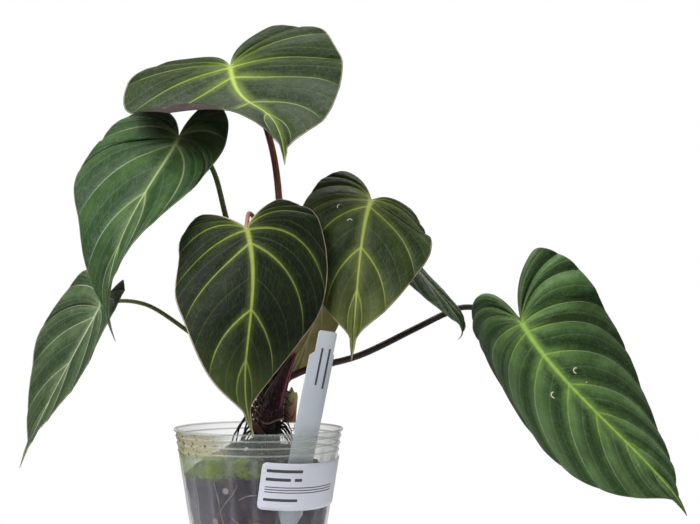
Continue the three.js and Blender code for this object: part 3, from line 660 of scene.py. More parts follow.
def leaf_skin_group():
    inputs = [(label, "Color") for label in LEAF_COLORS]
    inputs += [(label, "Float") for label in (*LEAF_NUMBERS[1:], "Veins", "Seed")]
    outputs = [("Color", "Color"), ("Roughness", "Float"), ("Height", "Float")]
    tree, take, give = new_group("leaf skin", inputs, outputs)
    vein_map = uv_place(tree, "veins")
    flat_map = uv_place(tree, "flat")
    out, vein, _ = axes_of(vein_map)
    names = ("span", "margin", "rib", "along", "under")
    stored = {name: read(tree, "ShaderNodeAttribute", output="Fac", attribute_name=name) for name in names}
    shift = read(tree, "ShaderNodeCombineXYZ", {2: take["Seed"]})
    flat_place = vector_node("ADD", flat_map, shift)
    wobble = cloudy(flat_place, 40.0) * 0.7 - 0.35

    # distance to the nearest side vein
    place = vein * take["Veins"]
    nearest = math_node("ROUND", place)
    share = abs(place - nearest)
    space = stored["span"] / take["Veins"]
    distance = share * space
    ragged = abs(distance + wobble * 0.5)
    strength = steps_of(nearest / take["Veins"], [(0.0, 0.0), (0.09, 0.35), (0.15, 0.6), (0.28, 1.0),
                                                  (0.75, 1.0), (0.86, 0.7), (0.97, 0.0)])
    width = take["Vein Width"] * (1.15 - out * 0.7)
    strength = strength * (1.0 - smooth_step(out, 0.72, 1.0) * 0.75)
    core = smooth_step(ragged, width, 0.0) * strength
    reach = take["Halo Reach"] * (1.0 - out * 0.5)
    halo = smooth_step(distance, reach, 0.0) * strength

    # the midrib narrows towards the tip
    taper = math_node("MAXIMUM", 1.0 - stored["along"], 0.0) ** 3.0
    rib_width = (taper * 0.75 + 0.35) * RIB_WIDTH
    front = smooth_step(stored["along"], -0.02, 0.0)
    rib = smooth_step(stored["rib"], rib_width, rib_width * 0.15) * front
    rib_halo = smooth_step(stored["rib"], take["Halo Reach"], 0.0)
    halo = math_node("MAXIMUM", halo, rib_halo * front)

    # fainter veins between them, and a net of the finest ones
    middle = abs(math_node("FRACT", place) - 0.5)
    thin = smooth_step(middle * space, 0.55, 0.1)
    finer = smooth_step(abs(middle - 0.25) * space, 0.4, 0.05)
    net_place = read(tree, "ShaderNodeCombineXYZ", {0: out * 26.0, 1: place * 4.0, 2: take["Seed"]})
    net_edge = read(tree, "ShaderNodeTexVoronoi", {"Vector": net_place, "Scale": 1.0},
                    feature="DISTANCE_TO_EDGE")
    net = smooth_step(net_edge, 0.12, 0.0)
    faint = (thin * 0.3 + finer * 0.14 + net * 0.12) * FAINT_SHARE

    # the upper face
    mottle = cloudy(flat_place, 9.0, 4.0)
    patch = mottle * 1.1 - 0.2
    # painted light: the Halo colour laid on the upper slope of each pleat, just past each vein towards the
    # tip, where the slope faces the lamps above; Pleat Light sets how much. The halo beside the veins is the
    # leaf's own colour
    pleat_light = smooth_step(math_node("FRACT", place), 0.75, 0.1)
    pleat_light = pleat_light * take["Band"] * smooth_step(out, 0.0, 0.2)
    halo_and_pleat_light = math_node("MAXIMUM", halo, pleat_light) * patch
    near_rib = smooth_step(stored["rib"], taper * 5.0 + 2.2, 0.0) * smooth_step(stored["along"], -0.08, 0.0)
    glow = near_rib * take["Glow"] * (taper * 0.9 + 0.1)
    near_start = smooth_step(out, 0.5, 0.0) * (halo * take["Glow"])
    glow = math_node("MAXIMUM", glow, near_start * 0.5)
    tip_share = smooth_step(stored["along"], 0.45, 0.95) * take["Tip Share"]
    color = layered(take["Deep"], (halo_and_pleat_light, take["Halo"]), (glow, take["Midrib"]),
                    (faint, take["Vein"]), (tip_share, take["Tip"]))
    shade = cloudy(flat_place, 28.0, 5.0) * 0.8 + 0.6
    vein_color = mix_paint(smooth_step(out, 0.05, 0.6), take["Midrib"], take["Vein"])
    rim = smooth_step(stored["margin"], 0.9, 0.35)
    upper = layered(shaded(color, shade), (core * take["Vein Share"], vein_color),
                    (rib * 0.9, take["Midrib"]), (rim * 0.8, take["Rim"]))

    # the lower face
    lines = math_node("MAXIMUM", core, rib)
    below = mix_paint(faint * 0.6 + lines, take["Under"], take["Under Vein"])
    color = mix_paint(stored["under"], upper, shaded(below, shade))
    roughness = mottle * 0.25 + 0.4 + stored["under"] * 0.15

    # heights in millimetres: the sheet bulges between its sunken veins
    angle = place * math.pi
    bulge = abs(math_node("SINE", angle)) + abs(math_node("SINE", angle * 2.0)) * 0.35
    relief = bulge * smooth_step(out, 0.02, 0.3) * take["Relief"] - lines * 0.25 - net * 0.08
    pucker = cloudy(flat_place, 36.0, 3.0) * take["Relief"] * 0.5
    grain = cloudy(flat_place, 260.0, 2.0) * 0.08
    height = relief * (1.0 - stored["under"] * 2.0) + mottle * 1.6 + pucker + grain
    feed(give, {"Color": color, "Roughness": roughness, "Height": height})
    return tree


leaf_skin = leaf_skin_group()
print("leaf skin nodes:", len(leaf_skin.nodes))

# %% Leaf materials
# one colour for each of LEAF_COLORS
LEAF_PAINTS = {
    # the top leaf's pale pinkish underside, a08a8c, is partly painted light: light shining through the thin
    # blade
    "top": "1b2b10 4f6534 a6b46e a9bf58 46572e a08a8c c2b0a4 a8a682",
    "upper_left": "1e3f15 66864f b9c6a8 a9bd80 34522a 75806a a7ad86 7f906a",
    "lower_left": "253c1c 6a8054 c6cfb8 bcc9a4 40582f 808a6e aab08c 9aa37c",
    "front": "152015 4b6226 9ca658 a6b45a 586838 7c7060 a8a17a d2bea4",
    "right": "1f3013 627436 a8b066 b2bf62 747c40 84795c b0aa80 aaa078",
    "far_right": "1f3c10 769a5c b3c09e 98be50 385626 7a805c a4a97a 5c6240",
    "rear_right": "1c3410 45602a 94a66c 98aa60 385028 7a8060 9aa276 9c9e80",
    # the back leaf's khaki underside, 968c58, is partly painted light: light shining through the thin blade
    "back": "2a3d26 46603a 93a868 99ae66 3a4c2b 968c58 bdb88a d2ccb0",
}
# small dried marks: their centres and radii on the flat map
LEAF_MARKS = {
    "far_right": [(0.5434, 0.7007, 0.0075), (0.5452, 0.7403, 0.0015), (0.4478, 0.7092, 0.0075)],
    "right": [(0.4213, 0.5551, 0.0085), (0.4577, 0.6025, 0.007)],
}
# one number for each of LEAF_NUMBERS
LEAF_VALUES = {
    "top": (0.12, 0.75, 1.2, 9.0, 1.4, 0.5, 0.5, 0.3),
    "upper_left": (0.26, 0.6, 1.35, 9.0, 1.7, 0.8, 0.2, 0.2),
    "lower_left": (0.3, 0.6, 1.1, 9.0, 1.4, 0.9, 0.3, 0.2),
    "front": (0.12, 0.8, 1.2, 5.5, 0.7, 0.2, 0.15, 0.7),
    "right": (0.22, 0.75, 1.2, 8.0, 1.2, 0.5, 0.35, 0.6),
    "far_right": (0.25, 0.55, 1.0, 7.0, 1.9, 1.0, 0.4, 0.15),
    "rear_right": (0.12, 0.5, 1.0, 7.0, 0.9, 0.6, 0.2, 0.2),
    "back": (0.2, 0.6, 1.0, 6.0, 0.6, 0.0, 0.2, 0.0),
}
MARK_COLOR = "d6d2be"


def mark_group():
    """a mask for one broken ring of dried tissue round a centre on the flat map"""
    inputs = [("Centre", "Vector"), ("Radius", "Float")]
    tree, take, give = new_group("dried mark", inputs, [("Mask", "Float")])
    flat_map = uv_place(tree, "flat")
    ring = abs(vector_node("DISTANCE", flat_map, take["Centre"], output="Value") - take["Radius"])
    offset = vector_node("SUBTRACT", flat_map, take["Centre"])
    side = vector_node("DOT_PRODUCT", offset, (-0.6, -0.8, 0), output="Value")
    broken = smooth_step(side, -0.003, 0.001) * smooth_step(cloudy(flat_map, 60.0, 3.0), 0.4, 0.46)
    feed(give, {"Mask": smooth_step(ring, 0.0022, 0.0008) * broken})
    return tree


dried_mark = mark_group()


def leaf_finish(name, number):
    gloss, *numbers = LEAF_VALUES[name]
    finish, tree, shader = new_finish(f"velvet leaf {name}", Specular_IOR_Level=gloss, Sheen_Weight=0.04,
                                      Sheen_Roughness=0.4)
    values = dict(zip(LEAF_COLORS, [paint(code) for code in LEAF_PAINTS[name].split()]))
    values.update(zip(LEAF_NUMBERS[1:], numbers))
    values.update({"Veins": LEAVES[name]["pattern"]["veins"], "Seed": 3.7 * number})
    skin = place_group(tree, leaf_skin, values)
    color = skin["Color"]
    for x, y, radius in LEAF_MARKS.get(name, []):
        mark = place_group(tree, dried_mark, {"Centre": (x, y, 0), "Radius": radius})
        color = mix_paint(mark["Mask"], color, MARK_COLOR)
    feed(shader.inputs, {"Base Color": color, "Roughness": skin["Roughness"]})
    add_bump(shader, skin["Height"], 0.001, 1.0)
    return finish


for number, (name, blade) in enumerate(blades.items()):
    blade.data.materials.append(leaf_finish(name, number))
print("leaf finishes:", len(blades))

# %% [markdown]
# ## The stalks
# A leaf stalk is a round rod that tapers from the stem to the blade. It runs along a smooth curve through
# a few points. Each end is carried a little way on, into the stem and into the blade, because on the plant
# they are one growth.


# %% Smooth curves and rods
STALK_STEPS = 64
STALK_SIDES = 14


def smooth_through(points, count):
    """count points on a centripetal Catmull-Rom curve"""
    points = np.asarray(points, float)
    points = np.vstack([2 * points[0] - points[1], points, 2 * points[-1] - points[-2]])
    made = []
    for place in np.linspace(0, len(points) - 3, count):
        low = min(int(place), len(points) - 4)
        t = place - low
        a, b, c, d = points[low:low + 4]
        ab, bc, cd = (np.sqrt(np.linalg.norm(w)) for w in (b - a, c - b, d - c))
        leave = ((b - a) / ab - (c - a) / (ab + bc) + (c - b) / bc) * bc
        reach = ((c - b) / bc - (d - b) / (bc + cd) + (d - c) / cd) * bc
        made.append(hermite(t, b, leave, c, reach))
    return np.array(made)


def grid_faces(rows, columns, closed=True, start=0, flip=False):
    """quads of a grid of points, row after row; closed joins the last column to the first"""
    faces = []
    for r in range(rows - 1):
        for c in range(columns if closed else columns - 1):
            d = (c + 1) % columns
            face = (r * columns + c, r * columns + d, (r + 1) * columns + d, (r + 1) * columns + c)
            faces.append(tuple(start + i for i in (face[::-1] if flip else face)))
    return faces


def sheet_faces(rows, columns):
    """the faces of two grids of points, one above the other, joined along their edges"""
    count = rows * columns
    faces = grid_faces(rows, columns, False) + grid_faces(rows, columns, False, count, True)
    ring = [(0, c) for c in range(columns)] + [(r, columns - 1) for r in range(1, rows)]
    ring += [(rows - 1, c) for c in range(columns - 2, -1, -1)] + [(r, 0) for r in range(rows - 2, 0, -1)]
    ring = [r * columns + c for r, c in ring]
    return faces + [(ring[i - 1], ring[i - 1] + count, ring[i] + count, ring[i]) for i in range(len(ring))]


def turned_piece(name, points, sides):
    """a closed piece from a foot point, rings of points and a crown point"""
    rows = (len(points) - 2) // sides
    faces = grid_faces(rows, sides, True, 1)
    last = 1 + (rows - 1) * sides
    for c in range(sides):
        d = (c + 1) % sides
        faces += [(0, 1 + d, 1 + c), (last + c, last + d, len(points) - 1)]
    return make_piece(name, points, faces)


def rod_mesh(path, radii, sides, start=0):
    """points, faces and corner values (turn, share of the length) of a closed rod"""
    path = np.asarray(path)
    along = unit(np.gradient(path, axis=0))
    side = np.cross(along[0], (0.3, 0.5, 0.81))
    turns = turns_of(sides)[:, None]
    rings = []
    for point, way, radius in zip(path, along, radii):
        side = unit(side - way * (side @ way))
        other = np.cross(way, side)
        rings.append(point + radius * (side * np.cos(turns) + other * np.sin(turns)))
    ends = [path[:1] - along[0] * radii[0] * 0.5, path[-1:] + along[-1] * radii[-1] * 0.5]
    points = np.vstack(rings + ends)
    faces = grid_faces(len(path), sides, True, start)
    foot, tip = start + len(points) - 2, start + len(points) - 1
    last = start + (len(path) - 1) * sides
    maps = [[(c / sides, r / len(path)), ((c + 1) / sides, r / len(path)),
             ((c + 1) / sides, (r + 1) / len(path)), (c / sides, (r + 1) / len(path))]
            for r in range(len(path) - 1) for c in range(sides)]
    for c in range(sides):
        d = (c + 1) % sides
        faces += [(start + d, start + c, foot), (last + c, last + d, tip)]
        maps += [[(c / sides, 0)] * 3, [(c / sides, 1)] * 3]
    return points, faces, maps


def join_rods(name, rods):
    points, faces, maps = [], [], []
    for path, radii, sides in rods:
        more = rod_mesh(path, radii, sides, sum(len(p) for p in points))
        points.append(more[0])
        faces += more[1]
        maps += [uv for face in more[2] for uv in face]
    return make_piece(name, np.vstack(points), faces, {"rod": maps})


def stalk_rod(leaf):
    route = [np.array(p, float) for p in leaf["route"]]
    route.insert(0, route[0] + unit(route[0] - route[1]) * 3)
    up = unit(np.array(leaf["faces"][0]))
    route.append(np.array(leaf["spine"][0]) - up * leaf["stalk"][1] * 0.6)
    path = smooth_through(route, STALK_STEPS)
    share = np.linspace(0, 1, STALK_STEPS)
    start, end = leaf["stalk"]
    swell = 1 + 0.16 * np.exp(-((share - 0.97) / 0.03) ** 2) + 0.25 * np.exp(-(share / 0.05) ** 2)
    return path, (start + (end - start) * share) * swell, STALK_SIDES


stalks = {name: join_rods(f"stalk_{name}", [stalk_rod(leaf)]) for name, leaf in LEAVES.items()}
print("stalk faces:", sum(len(stalk.data.polygons) for stalk in stalks.values()))

# %% [markdown]
# ### Bristles on the stalks
# These stalks are rough to the touch: short soft bristles stand all over them. There are thousands, so
# they aren't placed by hand. A tree of geometry nodes scatters points on the stalk, puts one small
# three-sided cone on each and turns it to stand on the surface.


# %% Scatter tree
WHOLE_TURN = 6.283


def scatter_tree(name, part, finish, density, size, spread, seed, tilt, only=None):
    """geometry nodes that scatter density copies of a part on each square metre, each turned its own way"""
    inputs = [("Geometry", "Geometry"), ("Density", "Float", density), ("Size", "Float", size),
              ("Spread", "Float", spread), ("Tilt", "Float", tilt), ("Seed", "Int", seed)]
    tree, take, give = new_group(name, inputs, [("Geometry", "Geometry")], "Geometry")
    scatter = {"Mesh": take["Geometry"], "Density": take["Density"], "Seed": take["Seed"]}
    if only is not None:
        scatter["Selection"] = only(tree)
    cloud = wires_of(add_node(tree, "GeometryNodeDistributePointsOnFaces", scatter))
    source = read(tree, "GeometryNodeObjectInfo", {"Object": part}, "Geometry")
    lean = read(tree, "FunctionNodeRandomValue", {0: (-1, -1, -1), 1: (1, 1, 1), "Seed": take["Seed"]},
                data_type="FLOAT_VECTOR")
    lean = read(tree, "ShaderNodeVectorMath", {0: lean, "Scale": take["Tilt"]}, operation="SCALE")
    way = vector_node("ADD", cloud["Normal"], lean)
    stand = read(tree, "FunctionNodeAlignRotationToVector", {"Vector": way}, axis="Z")
    spin = read(tree, "FunctionNodeRandomValue", {2: 0.0, 3: WHOLE_TURN, "Seed": 5}, 1, data_type="FLOAT")
    turn = read(tree, "FunctionNodeAxisAngleToRotation", {"Axis": (0, 0, 1), "Angle": spin})
    pose = read(tree, "FunctionNodeRotateRotation", {0: stand, 1: turn}, rotation_space="LOCAL")
    limits = {2: take["Size"] - take["Spread"], 3: take["Size"] + take["Spread"], "Seed": 9}
    scale = read(tree, "FunctionNodeRandomValue", limits, 1, data_type="FLOAT")
    copies = read(tree, "GeometryNodeInstanceOnPoints", {
        "Points": cloud["Points"], "Instance": source, "Rotation": pose, "Scale": scale})
    real = read(tree, "GeometryNodeRealizeInstances", {0: copies})
    feed(give, {"Geometry": read(tree, "GeometryNodeSetMaterial", {0: real, "Material": finish})})
    return tree


def grow_copies(name, ground, tree):
    """a plain mesh object of the copies that the tree scatters on the ground object"""
    modifier = ground.modifiers.new("scatter", "NODES")
    modifier.node_group = tree
    for item in tree.interface.items_tree:
        if item.in_out == "INPUT" and item.name != "Geometry":
            modifier[item.identifier] = item.default_value
    evaluated = ground.evaluated_get(bpy.context.evaluated_depsgraph_get())
    mesh = bpy.data.meshes.new_from_object(evaluated)
    ground.modifiers.remove(modifier)
    mesh.name = name
    piece = bpy.data.objects.new(name, mesh)
    bpy.context.scene.collection.objects.link(piece)
    return piece


def template(name, points, faces):
    """a small hidden mesh that is copied many times"""
    part = make_piece(name, points, faces)
    bpy.context.scene.collection.objects.unlink(part)
    return part


print("scatter tree ready")


# %% Stalk finishes and bristles
def stalk_finish(name, low, high, tip):
    """a stalk that changes colour towards the blade, with fine streaks along it"""
    finish, tree, shader = new_finish(name, Specular_IOR_Level=0.4)
    rod = uv_place(tree, "rod")
    _, up, _ = axes_of(rod)
    streak = cloudy(vector_node("MULTIPLY", rod, (9, 30, 1)), 1.0, 4.0)
    color = mix_paint(smooth_step(up, 0.15, 0.8), low, high)
    color = mix_paint(smooth_step(up, 0.93, 1.0), color, tip)
    feed(shader.inputs, {"Base Color": shaded(color, streak * 0.9 + 0.55), "Roughness": streak * 0.3 + 0.35})
    add_bump(shader, streak, 0.0004, 0.5)
    return finish


STALK_PAINTS = {
    "top": ("5a3022", "8e5540", "9c7448"), "upper_left": ("3a4820", "66743a", "8c9c50"),
    "lower_left": ("38421e", "626e34", "7f8d44"), "front": ("5a3428", "a87864", "b89468"),
    "right": ("38421e", "5c6a30", "96a552"), "far_right": ("38201c", "2f3828", "8e5640"),
    "rear_right": ("303a20", "4a5a28", "7a8842"), "back": ("46331f", "5a5a2a", "96954e"),
}
bristle_finish, bristle_tree, bristle_shader = new_finish("pale bristles", Roughness=0.6)
bristle_tone = cloudy(object_place(bristle_tree), 300.0)
feed(bristle_shader.inputs, {"Base Color": mix_paint(bristle_tone, "4a3a22", "7c7440")})
bristle = template("bristle", [(0.11, 0, -0.1), (-0.055, 0.095, -0.1), (-0.055, -0.095, -0.1), (0, 0, 1)],
                   [(0, 1, 3), (1, 2, 3), (2, 0, 3), (2, 1, 0)])
bristle_scatter = scatter_tree("bristles on a stalk", bristle, bristle_finish, density=110000, size=0.75,
                               spread=0.3, seed=4, tilt=0.35)
hairs = {}
for name, stalk in stalks.items():
    stalk.data.materials.append(stalk_finish(f"stalk {name}", *STALK_PAINTS[name]))
    hairs[name] = grow_copies(f"bristles_{name}", stalk, bristle_scatter)
print("bristle faces:", sum(len(hair.data.polygons) for hair in hairs.values()))

# %% [markdown]
# ## The stem, the roots and the old sheaths
# The short stem is knobbly, with the scars of dropped leaves, and wiry black roots arch from it into the
# mix. A fresh leaf grows out of a sheath. One dark maroon sheath still wraps the stem, a pale one stands
# behind it and a dry brown strip hangs in front.

# %% Stem and roots
STEM_RINGS = [
    (4, 0, 52, 4.5), (4.5, 0, 70, 6.6), (5, 0, 92, 7.4), (5.5, 0, 97, 9.4), (6, 0, 103, 10.6),
    (6.5, 0, 110, 9.8), (7, 0.5, 118, 9), (8, 1, 127, 7.6), (9.5, 2, 137, 6.4), (11.5, 3, 147, 5),
    (12.5, 3.5, 153, 3.6)]
ROOTS = [
    (178, 23, 111, 118), (189, 28, 107, 112), (166, 18, 113, 120), (200, 22, 104, 108), (218, 27, 102, 104),
    (242, 24, 101, 103), (268, 27, 100, 103), (292, 25, 101, 104), (317, 24, 102, 106), (341, 20, 104, 107),
    (4, 21, 105, 109), (32, 26, 103, 106), (75, 26, 102, 105), (122, 27, 102, 106)]

CROWN_ROUND = 2.2
ROOT_CENTRE = 6
ROOT_STEPS = 26
FINE_ROOTS = 10
STEM_FIBRES = 34
MIX_RADIUS = 52.01
MIX_EDGE = 73


def blend(first, second, share):
    return first + (second - first) * share


def rough(point, scale, seed=0.0):
    """smooth noise from -1 to 1 at a point in millimetres"""
    return noise.noise(Vector(point) * scale + Vector((seed, seed, seed)))


def soil_level(x, y):
    """the height of the mix, a low mound round the stem"""
    share = min(math.hypot(x, y) / MIX_RADIUS, 1)
    swell = math.sin(x * 0.31 + 1.3) * math.cos(y * 0.27 - 0.6)
    return MIX_EDGE + 25 * (1 - share ** 1.6) + 1.1 * (swell + 0.4 * math.sin(x * 0.73 - y * 0.41))


def stem_body():
    rings = np.array(STEM_RINGS, float)
    levels, sides = 90, 48
    points = []
    crown = rings[-1, 2]
    for z in np.linspace(rings[0, 2], crown + 2, levels):
        x, y, radius = (np.interp(z, rings[:, 2], rings[:, k]) for k in (0, 1, 3))
        radius *= 1 if z < crown else math.sqrt(max(1 - ((z - crown) / CROWN_ROUND) ** 2, 0.05))
        for turn in turns_of(sides):
            way = np.array((math.cos(turn), math.sin(turn), 0))
            spot = np.array((x, y, z)) + way * radius
            reach = rough(spot, 0.16) + 0.6 * rough(spot * (1, 1, 0.45), 0.6, 7) - 0.35
            points.append(spot + way * reach)
    faces = grid_faces(levels, sides)
    faces.append(tuple(range(sides))[::-1])
    faces.append(tuple(range((levels - 1) * sides, levels * sides)))
    return make_piece("stem_core", points, faces)


def root_path(direction, reach, start, peak):
    """a root that rises from the stem, arches over the mix and ends in it"""
    def at(distance, turn, level):
        angle = math.radians(direction + turn)
        return (ROOT_CENTRE + distance * math.cos(angle), distance * math.sin(angle), level)
    x, y, _ = at(reach, 12, 0)
    rest = soil_level(x, y) - 3
    spots = [at(5, 0, start), at(0.5 * reach, -4, peak), at(0.82 * reach, 4, blend(rest, peak, 0.6)),
             (x, y, rest)]
    path = smooth_through(spots, ROOT_STEPS)
    return [p + 0.35 * np.array([rough(p, 0.35, s) for s in (1, 5, 9)]) for p in path]


def root_rods():
    """thick roots, fine roots, fibres wound round the stem, and short hairs beside the sheath"""
    rods = [(root_path(*root), np.linspace(0.96, 0.5, ROOT_STEPS), 8) for root in ROOTS]
    chance = np.random.default_rng(12)
    for _ in range(FINE_ROOTS):
        direction, start = chance.uniform(0, 360), chance.uniform(99, 112)
        path = root_path(direction, chance.uniform(15, 27), start, start + chance.uniform(-1, 5))
        rods.append((path, np.linspace(0.42, 0.2, ROOT_STEPS), 6))
    for _ in range(STEM_FIBRES):
        height, turn = chance.uniform(100, 143), chance.uniform(0, 2 * np.pi)
        radius = np.interp(height, [r[2] for r in STEM_RINGS], [r[3] for r in STEM_RINGS]) + 0.2
        path = []
        for t in np.linspace(0, chance.uniform(0.6, 1.6), 16):
            reach = radius + 0.5 * math.sin(3 * t)
            path.append((6.5 + reach * math.cos(turn + t), 0.5 + reach * math.sin(turn + t), height - 9 * t))
        rods.append((path, np.full(16, 0.28), 5))
    for height, lean in ((133, 3), (128, 6), (123, 2), (119, 7), (115, 4), (111, 8)):
        spots = [(14, -5, height - 3), (19, -7.5, height), (22 + 0.3 * lean, -8, height + 1 - lean),
                 (23 + 0.4 * lean, -7, height + 3 - 0.6 * lean)]
        rods.append((smooth_through(spots, 18), np.linspace(0.5, 0.2, 18), 6))
    return rods


stem = stem_body()
roots = join_rods("roots", root_rods())
print("stem faces:", len(stem.data.polygons), "root faces:", len(roots.data.polygons))


# %% Sheaths
def thick_sheet(name, rows, columns, point_at, thickness):
    """a closed sheet from a rule that gives a point for (up, round), with a UV map of the same pair"""
    pairs = [(r / (rows - 1), c / (columns - 1)) for r in range(rows) for c in range(columns)]
    middle = np.array([point_at(*pair) for pair in pairs])
    table = middle.reshape(rows, columns, 3)
    normals = unit(np.cross(np.gradient(table, axis=1), np.gradient(table, axis=0)).reshape(-1, 3))
    points = np.vstack([middle + normals * thickness / 2, middle - normals * thickness / 2])
    count = rows * columns
    faces = sheet_faces(rows, columns)
    maps = [pairs[i % count] for face in faces for i in face]
    return make_piece(name, points, faces, {"sheet": maps})


def dark_sheath_point(up, around):
    turn = math.radians(62) * (2 * around - 1) * blend(1, 0.75, up)
    reach = 11 * (1 - up) ** 0.75 + 0.9 + 0.25 * math.sin(9 * around + 5 * up)
    reach += 0.9 * (1 - up) * rough((5 * around, 3.2 * up, 0), 1.0, 2)
    reach += 0.5 * (1 - up) * rough((16 * around, 6 * up, 3), 1.0)
    lean = up ** 1.3
    drop = (1 - up) * (2.5 * math.cos(2 * turn) - 0.6 * math.sin(11 * around))
    return round_axis(reach, turn) + (blend(7.4, 26, lean), blend(0, -7, lean), blend(112, 159, up) - drop)


def pale_sheath_point(up, around):
    turn = math.radians(78) * (2 * around - 1)
    crown = 1 - 0.25 * up * abs(2 * around - 1) - 0.04 * up * math.sin(20 * around)
    return round_axis(4.6, turn) + (21.5 + 1.5 * up, 9, 109 + 25 * up * crown)


def dry_strip_point(along, around):
    start, end = np.array((-6, -16.5, 112.5)), np.array((4.5, -19.5, 101.5))
    across = unit(np.cross(end - start, (0, -1, 0)))
    half = 2.3 * math.sin(math.pi * blend(0.22, 0.86, along))
    sag = 1.6 * abs(2 * around - 1) - 2 * math.sin(math.pi * along)
    return start + (end - start) * along + across * half * (2 * around - 1) + np.array((0, sag, 0))


SHEATH_THICKNESS = 0.7
SHEATH_CURLS = 26
STEM_CURLS = 64
sheath_dark, sheath_pale, sheath_dry = (
    thick_sheet(name, rows, columns, rule, SHEATH_THICKNESS) for name, rows, columns, rule in (
        ("maroon_sheath", 56, 40, dark_sheath_point), ("pale_sheath", 30, 24, pale_sheath_point),
        ("dry_strip", 24, 14, dry_strip_point)))


def curl_rods():
    """dry curled fibres, some on the dark sheath and some on the stem beside it"""
    chance = np.random.default_rng(31)
    rods = []
    for _ in range(SHEATH_CURLS):
        up, around, size, start = chance.uniform((0.05, 0.2, 0.03, 0), (0.45, 0.75, 0.09, 6.3))
        path = []
        for t in np.linspace(0, 3.6, 18):
            beside = around + size * math.cos(start + 1.3 * t)
            spot = dark_sheath_point(up + size * math.sin(start + t) * 0.9, beside)
            path.append(spot + np.array((0, -0.75 - 0.3 * math.sin(2 * t), 0)))
        rods.append((path, np.linspace(0.32, 0.18, 18), 5))
    for _ in range(STEM_CURLS):
        height, turn, reach = chance.uniform((109, 2.3, 7.5), (134, 4.0, 13.5))
        path = []
        for t in np.linspace(0, 2.4, 18):
            wide = reach + 1.1 * math.sin(2.1 * t + turn)
            angle = turn + 0.3 * t
            path.append((7 + wide * math.cos(angle), wide * math.sin(angle), height - 3.4 * t))
        rods.append((path, np.linspace(0.5, 0.22, 18), 5))
    return rods


curls = join_rods("dry_curls", curl_rods())
print("sheath faces:", [len(o.data.polygons) for o in (sheath_dark, sheath_pale, sheath_dry, curls)])


# %% Finishes of the stem, roots and sheaths
def fibre_finish(name, dark, light, scale, relief, stretch=(1, 1, 1), shine=0.3):
    """a dry fibrous surface: noise that a stretch below 1 draws out along an axis; relief in metres"""
    finish, tree, shader = new_finish(name, Specular_IOR_Level=shine)
    fibre = cloudy(vector_node("MULTIPLY", object_place(tree), stretch), scale, 5.0, 0.65)
    color = mix_paint(smooth_step(fibre, 0.42, 0.72), dark, light)
    feed(shader.inputs, {"Base Color": color, "Roughness": fibre * 0.4 + 0.35})
    add_bump(shader, fibre, relief, 0.8)
    return finish


def sheath_finish(name, low, high, edge, shine, crinkle, streaks=(3, 34, 1), line=None):
    """a sheath with a pale thin edge; the UV map gives the height and the place round it"""
    finish, tree, shader = new_finish(name, Specular_IOR_Level=shine)
    sheet = uv_place(tree, "sheet")
    up, around, _ = axes_of(sheet)
    streak = cloudy(vector_node("MULTIPLY", sheet, streaks), 1.0, 5.0)
    color = shaded(mix_paint(smooth_step(up, 0.25, 0.85), low, high), streak * 1.2 + 0.4)
    # line is the colour of a painted highlight: a shiny stripe near one side of the sheath, broken by the
    # streaks
    if line:
        painted_highlight = smooth_step(abs(around - 0.8), 0.1, 0.02) * smooth_step(up, 0.12, 0.3)
        color = mix_paint(painted_highlight * streak, color, line)
    side = abs(around * 2.0 - 1.0)
    rim = math_node("MAXIMUM", smooth_step(side, 0.87, 0.96), smooth_step(up, 0.04, 0.0))
    color = layered(color, (smooth_step(streak, 0.56, 0.7) * 0.6, crinkle), (rim * 0.85, edge))
    feed(shader.inputs, {"Base Color": color, "Roughness": streak * 0.25 + 0.22})
    add_bump(shader, streak, 0.0006, 0.5)
    return finish


for piece, finish in (
        (stem, fibre_finish("dark stem", "070405", "2a1713", 220.0, 0.0016, (1, 1, 0.35), 0.35)),
        (roots, fibre_finish("black roots", "080607", "2a1d19", 420.0, 0.0006)),
        (curls, fibre_finish("dry curls", "2a1813", "94705a", 300.0, 0.0004)),
        # the maroon sheath's last colour, d06a94, is its painted highlight stripe
        (sheath_dark, sheath_finish("maroon sheath", "22090c", "3a0f1c", "b39a84", 0.35, "5c382c",
                                    (7, 16, 1), "d06a94")),
        (sheath_pale, sheath_finish("pale sheath", "a87862", "c5bd84", "d9cfa0", 0.4, "8e6a55")),
        (sheath_dry, sheath_finish("dry strip", "4a2a24", "4f3029", "8b6a58", 0.3, "6a4438"))):
    piece.data.materials.append(finish)
print("stem finishes done")

# %% [markdown]
# ## The mix, the moss and the pale roots
# Potting mix for these plants is coarse: bark, peat and white grains of perlite. One closed solid carries
# the shape, and geometry nodes scatter bark chips and perlite on its top. Roots grow along the inner wall
# too, pale where the light reaches them.


# %% Mix, with a rough side and a slot for the tag
POT_FOOT_RADIUS = 42.4
POT_FLARE = 0.158
MIX_GAP = 1.93
MIX_FOOT = 1.95
TAG_FOOT, TAG_TOP = np.array((20.6, -38.5, 34)), np.array((48.9, -45.7, 176))
TAG_LENGTH = np.linalg.norm(TAG_TOP - TAG_FOOT)
TAG_UP = (TAG_TOP - TAG_FOOT) / TAG_LENGTH
TAG_OUT = unit(np.array((0.53, -0.85, 0)) - TAG_UP * (TAG_UP @ (0.53, -0.85, 0)))
TAG_ACROSS = np.cross(TAG_UP, TAG_OUT)
SLOT_HALF = 10.4
SLOT_DEPTH = 0.9
SLOT_REACH = 14


def pot_radius(z):
    """the outer radius of the pot's wall at a height"""
    return POT_FOOT_RADIUS + POT_FLARE * z


def behind_tag(spot):
    """moves a point of the mix that would hide the tag from the wall to a plane behind the tag"""
    gap = spot - TAG_FOOT
    across, up, out = gap @ TAG_ACROSS, gap @ TAG_UP, gap @ TAG_OUT
    if abs(across) < SLOT_HALF and up > -1 and -SLOT_DEPTH < out < SLOT_REACH:
        return spot - TAG_OUT * (out + SLOT_DEPTH)
    return spot


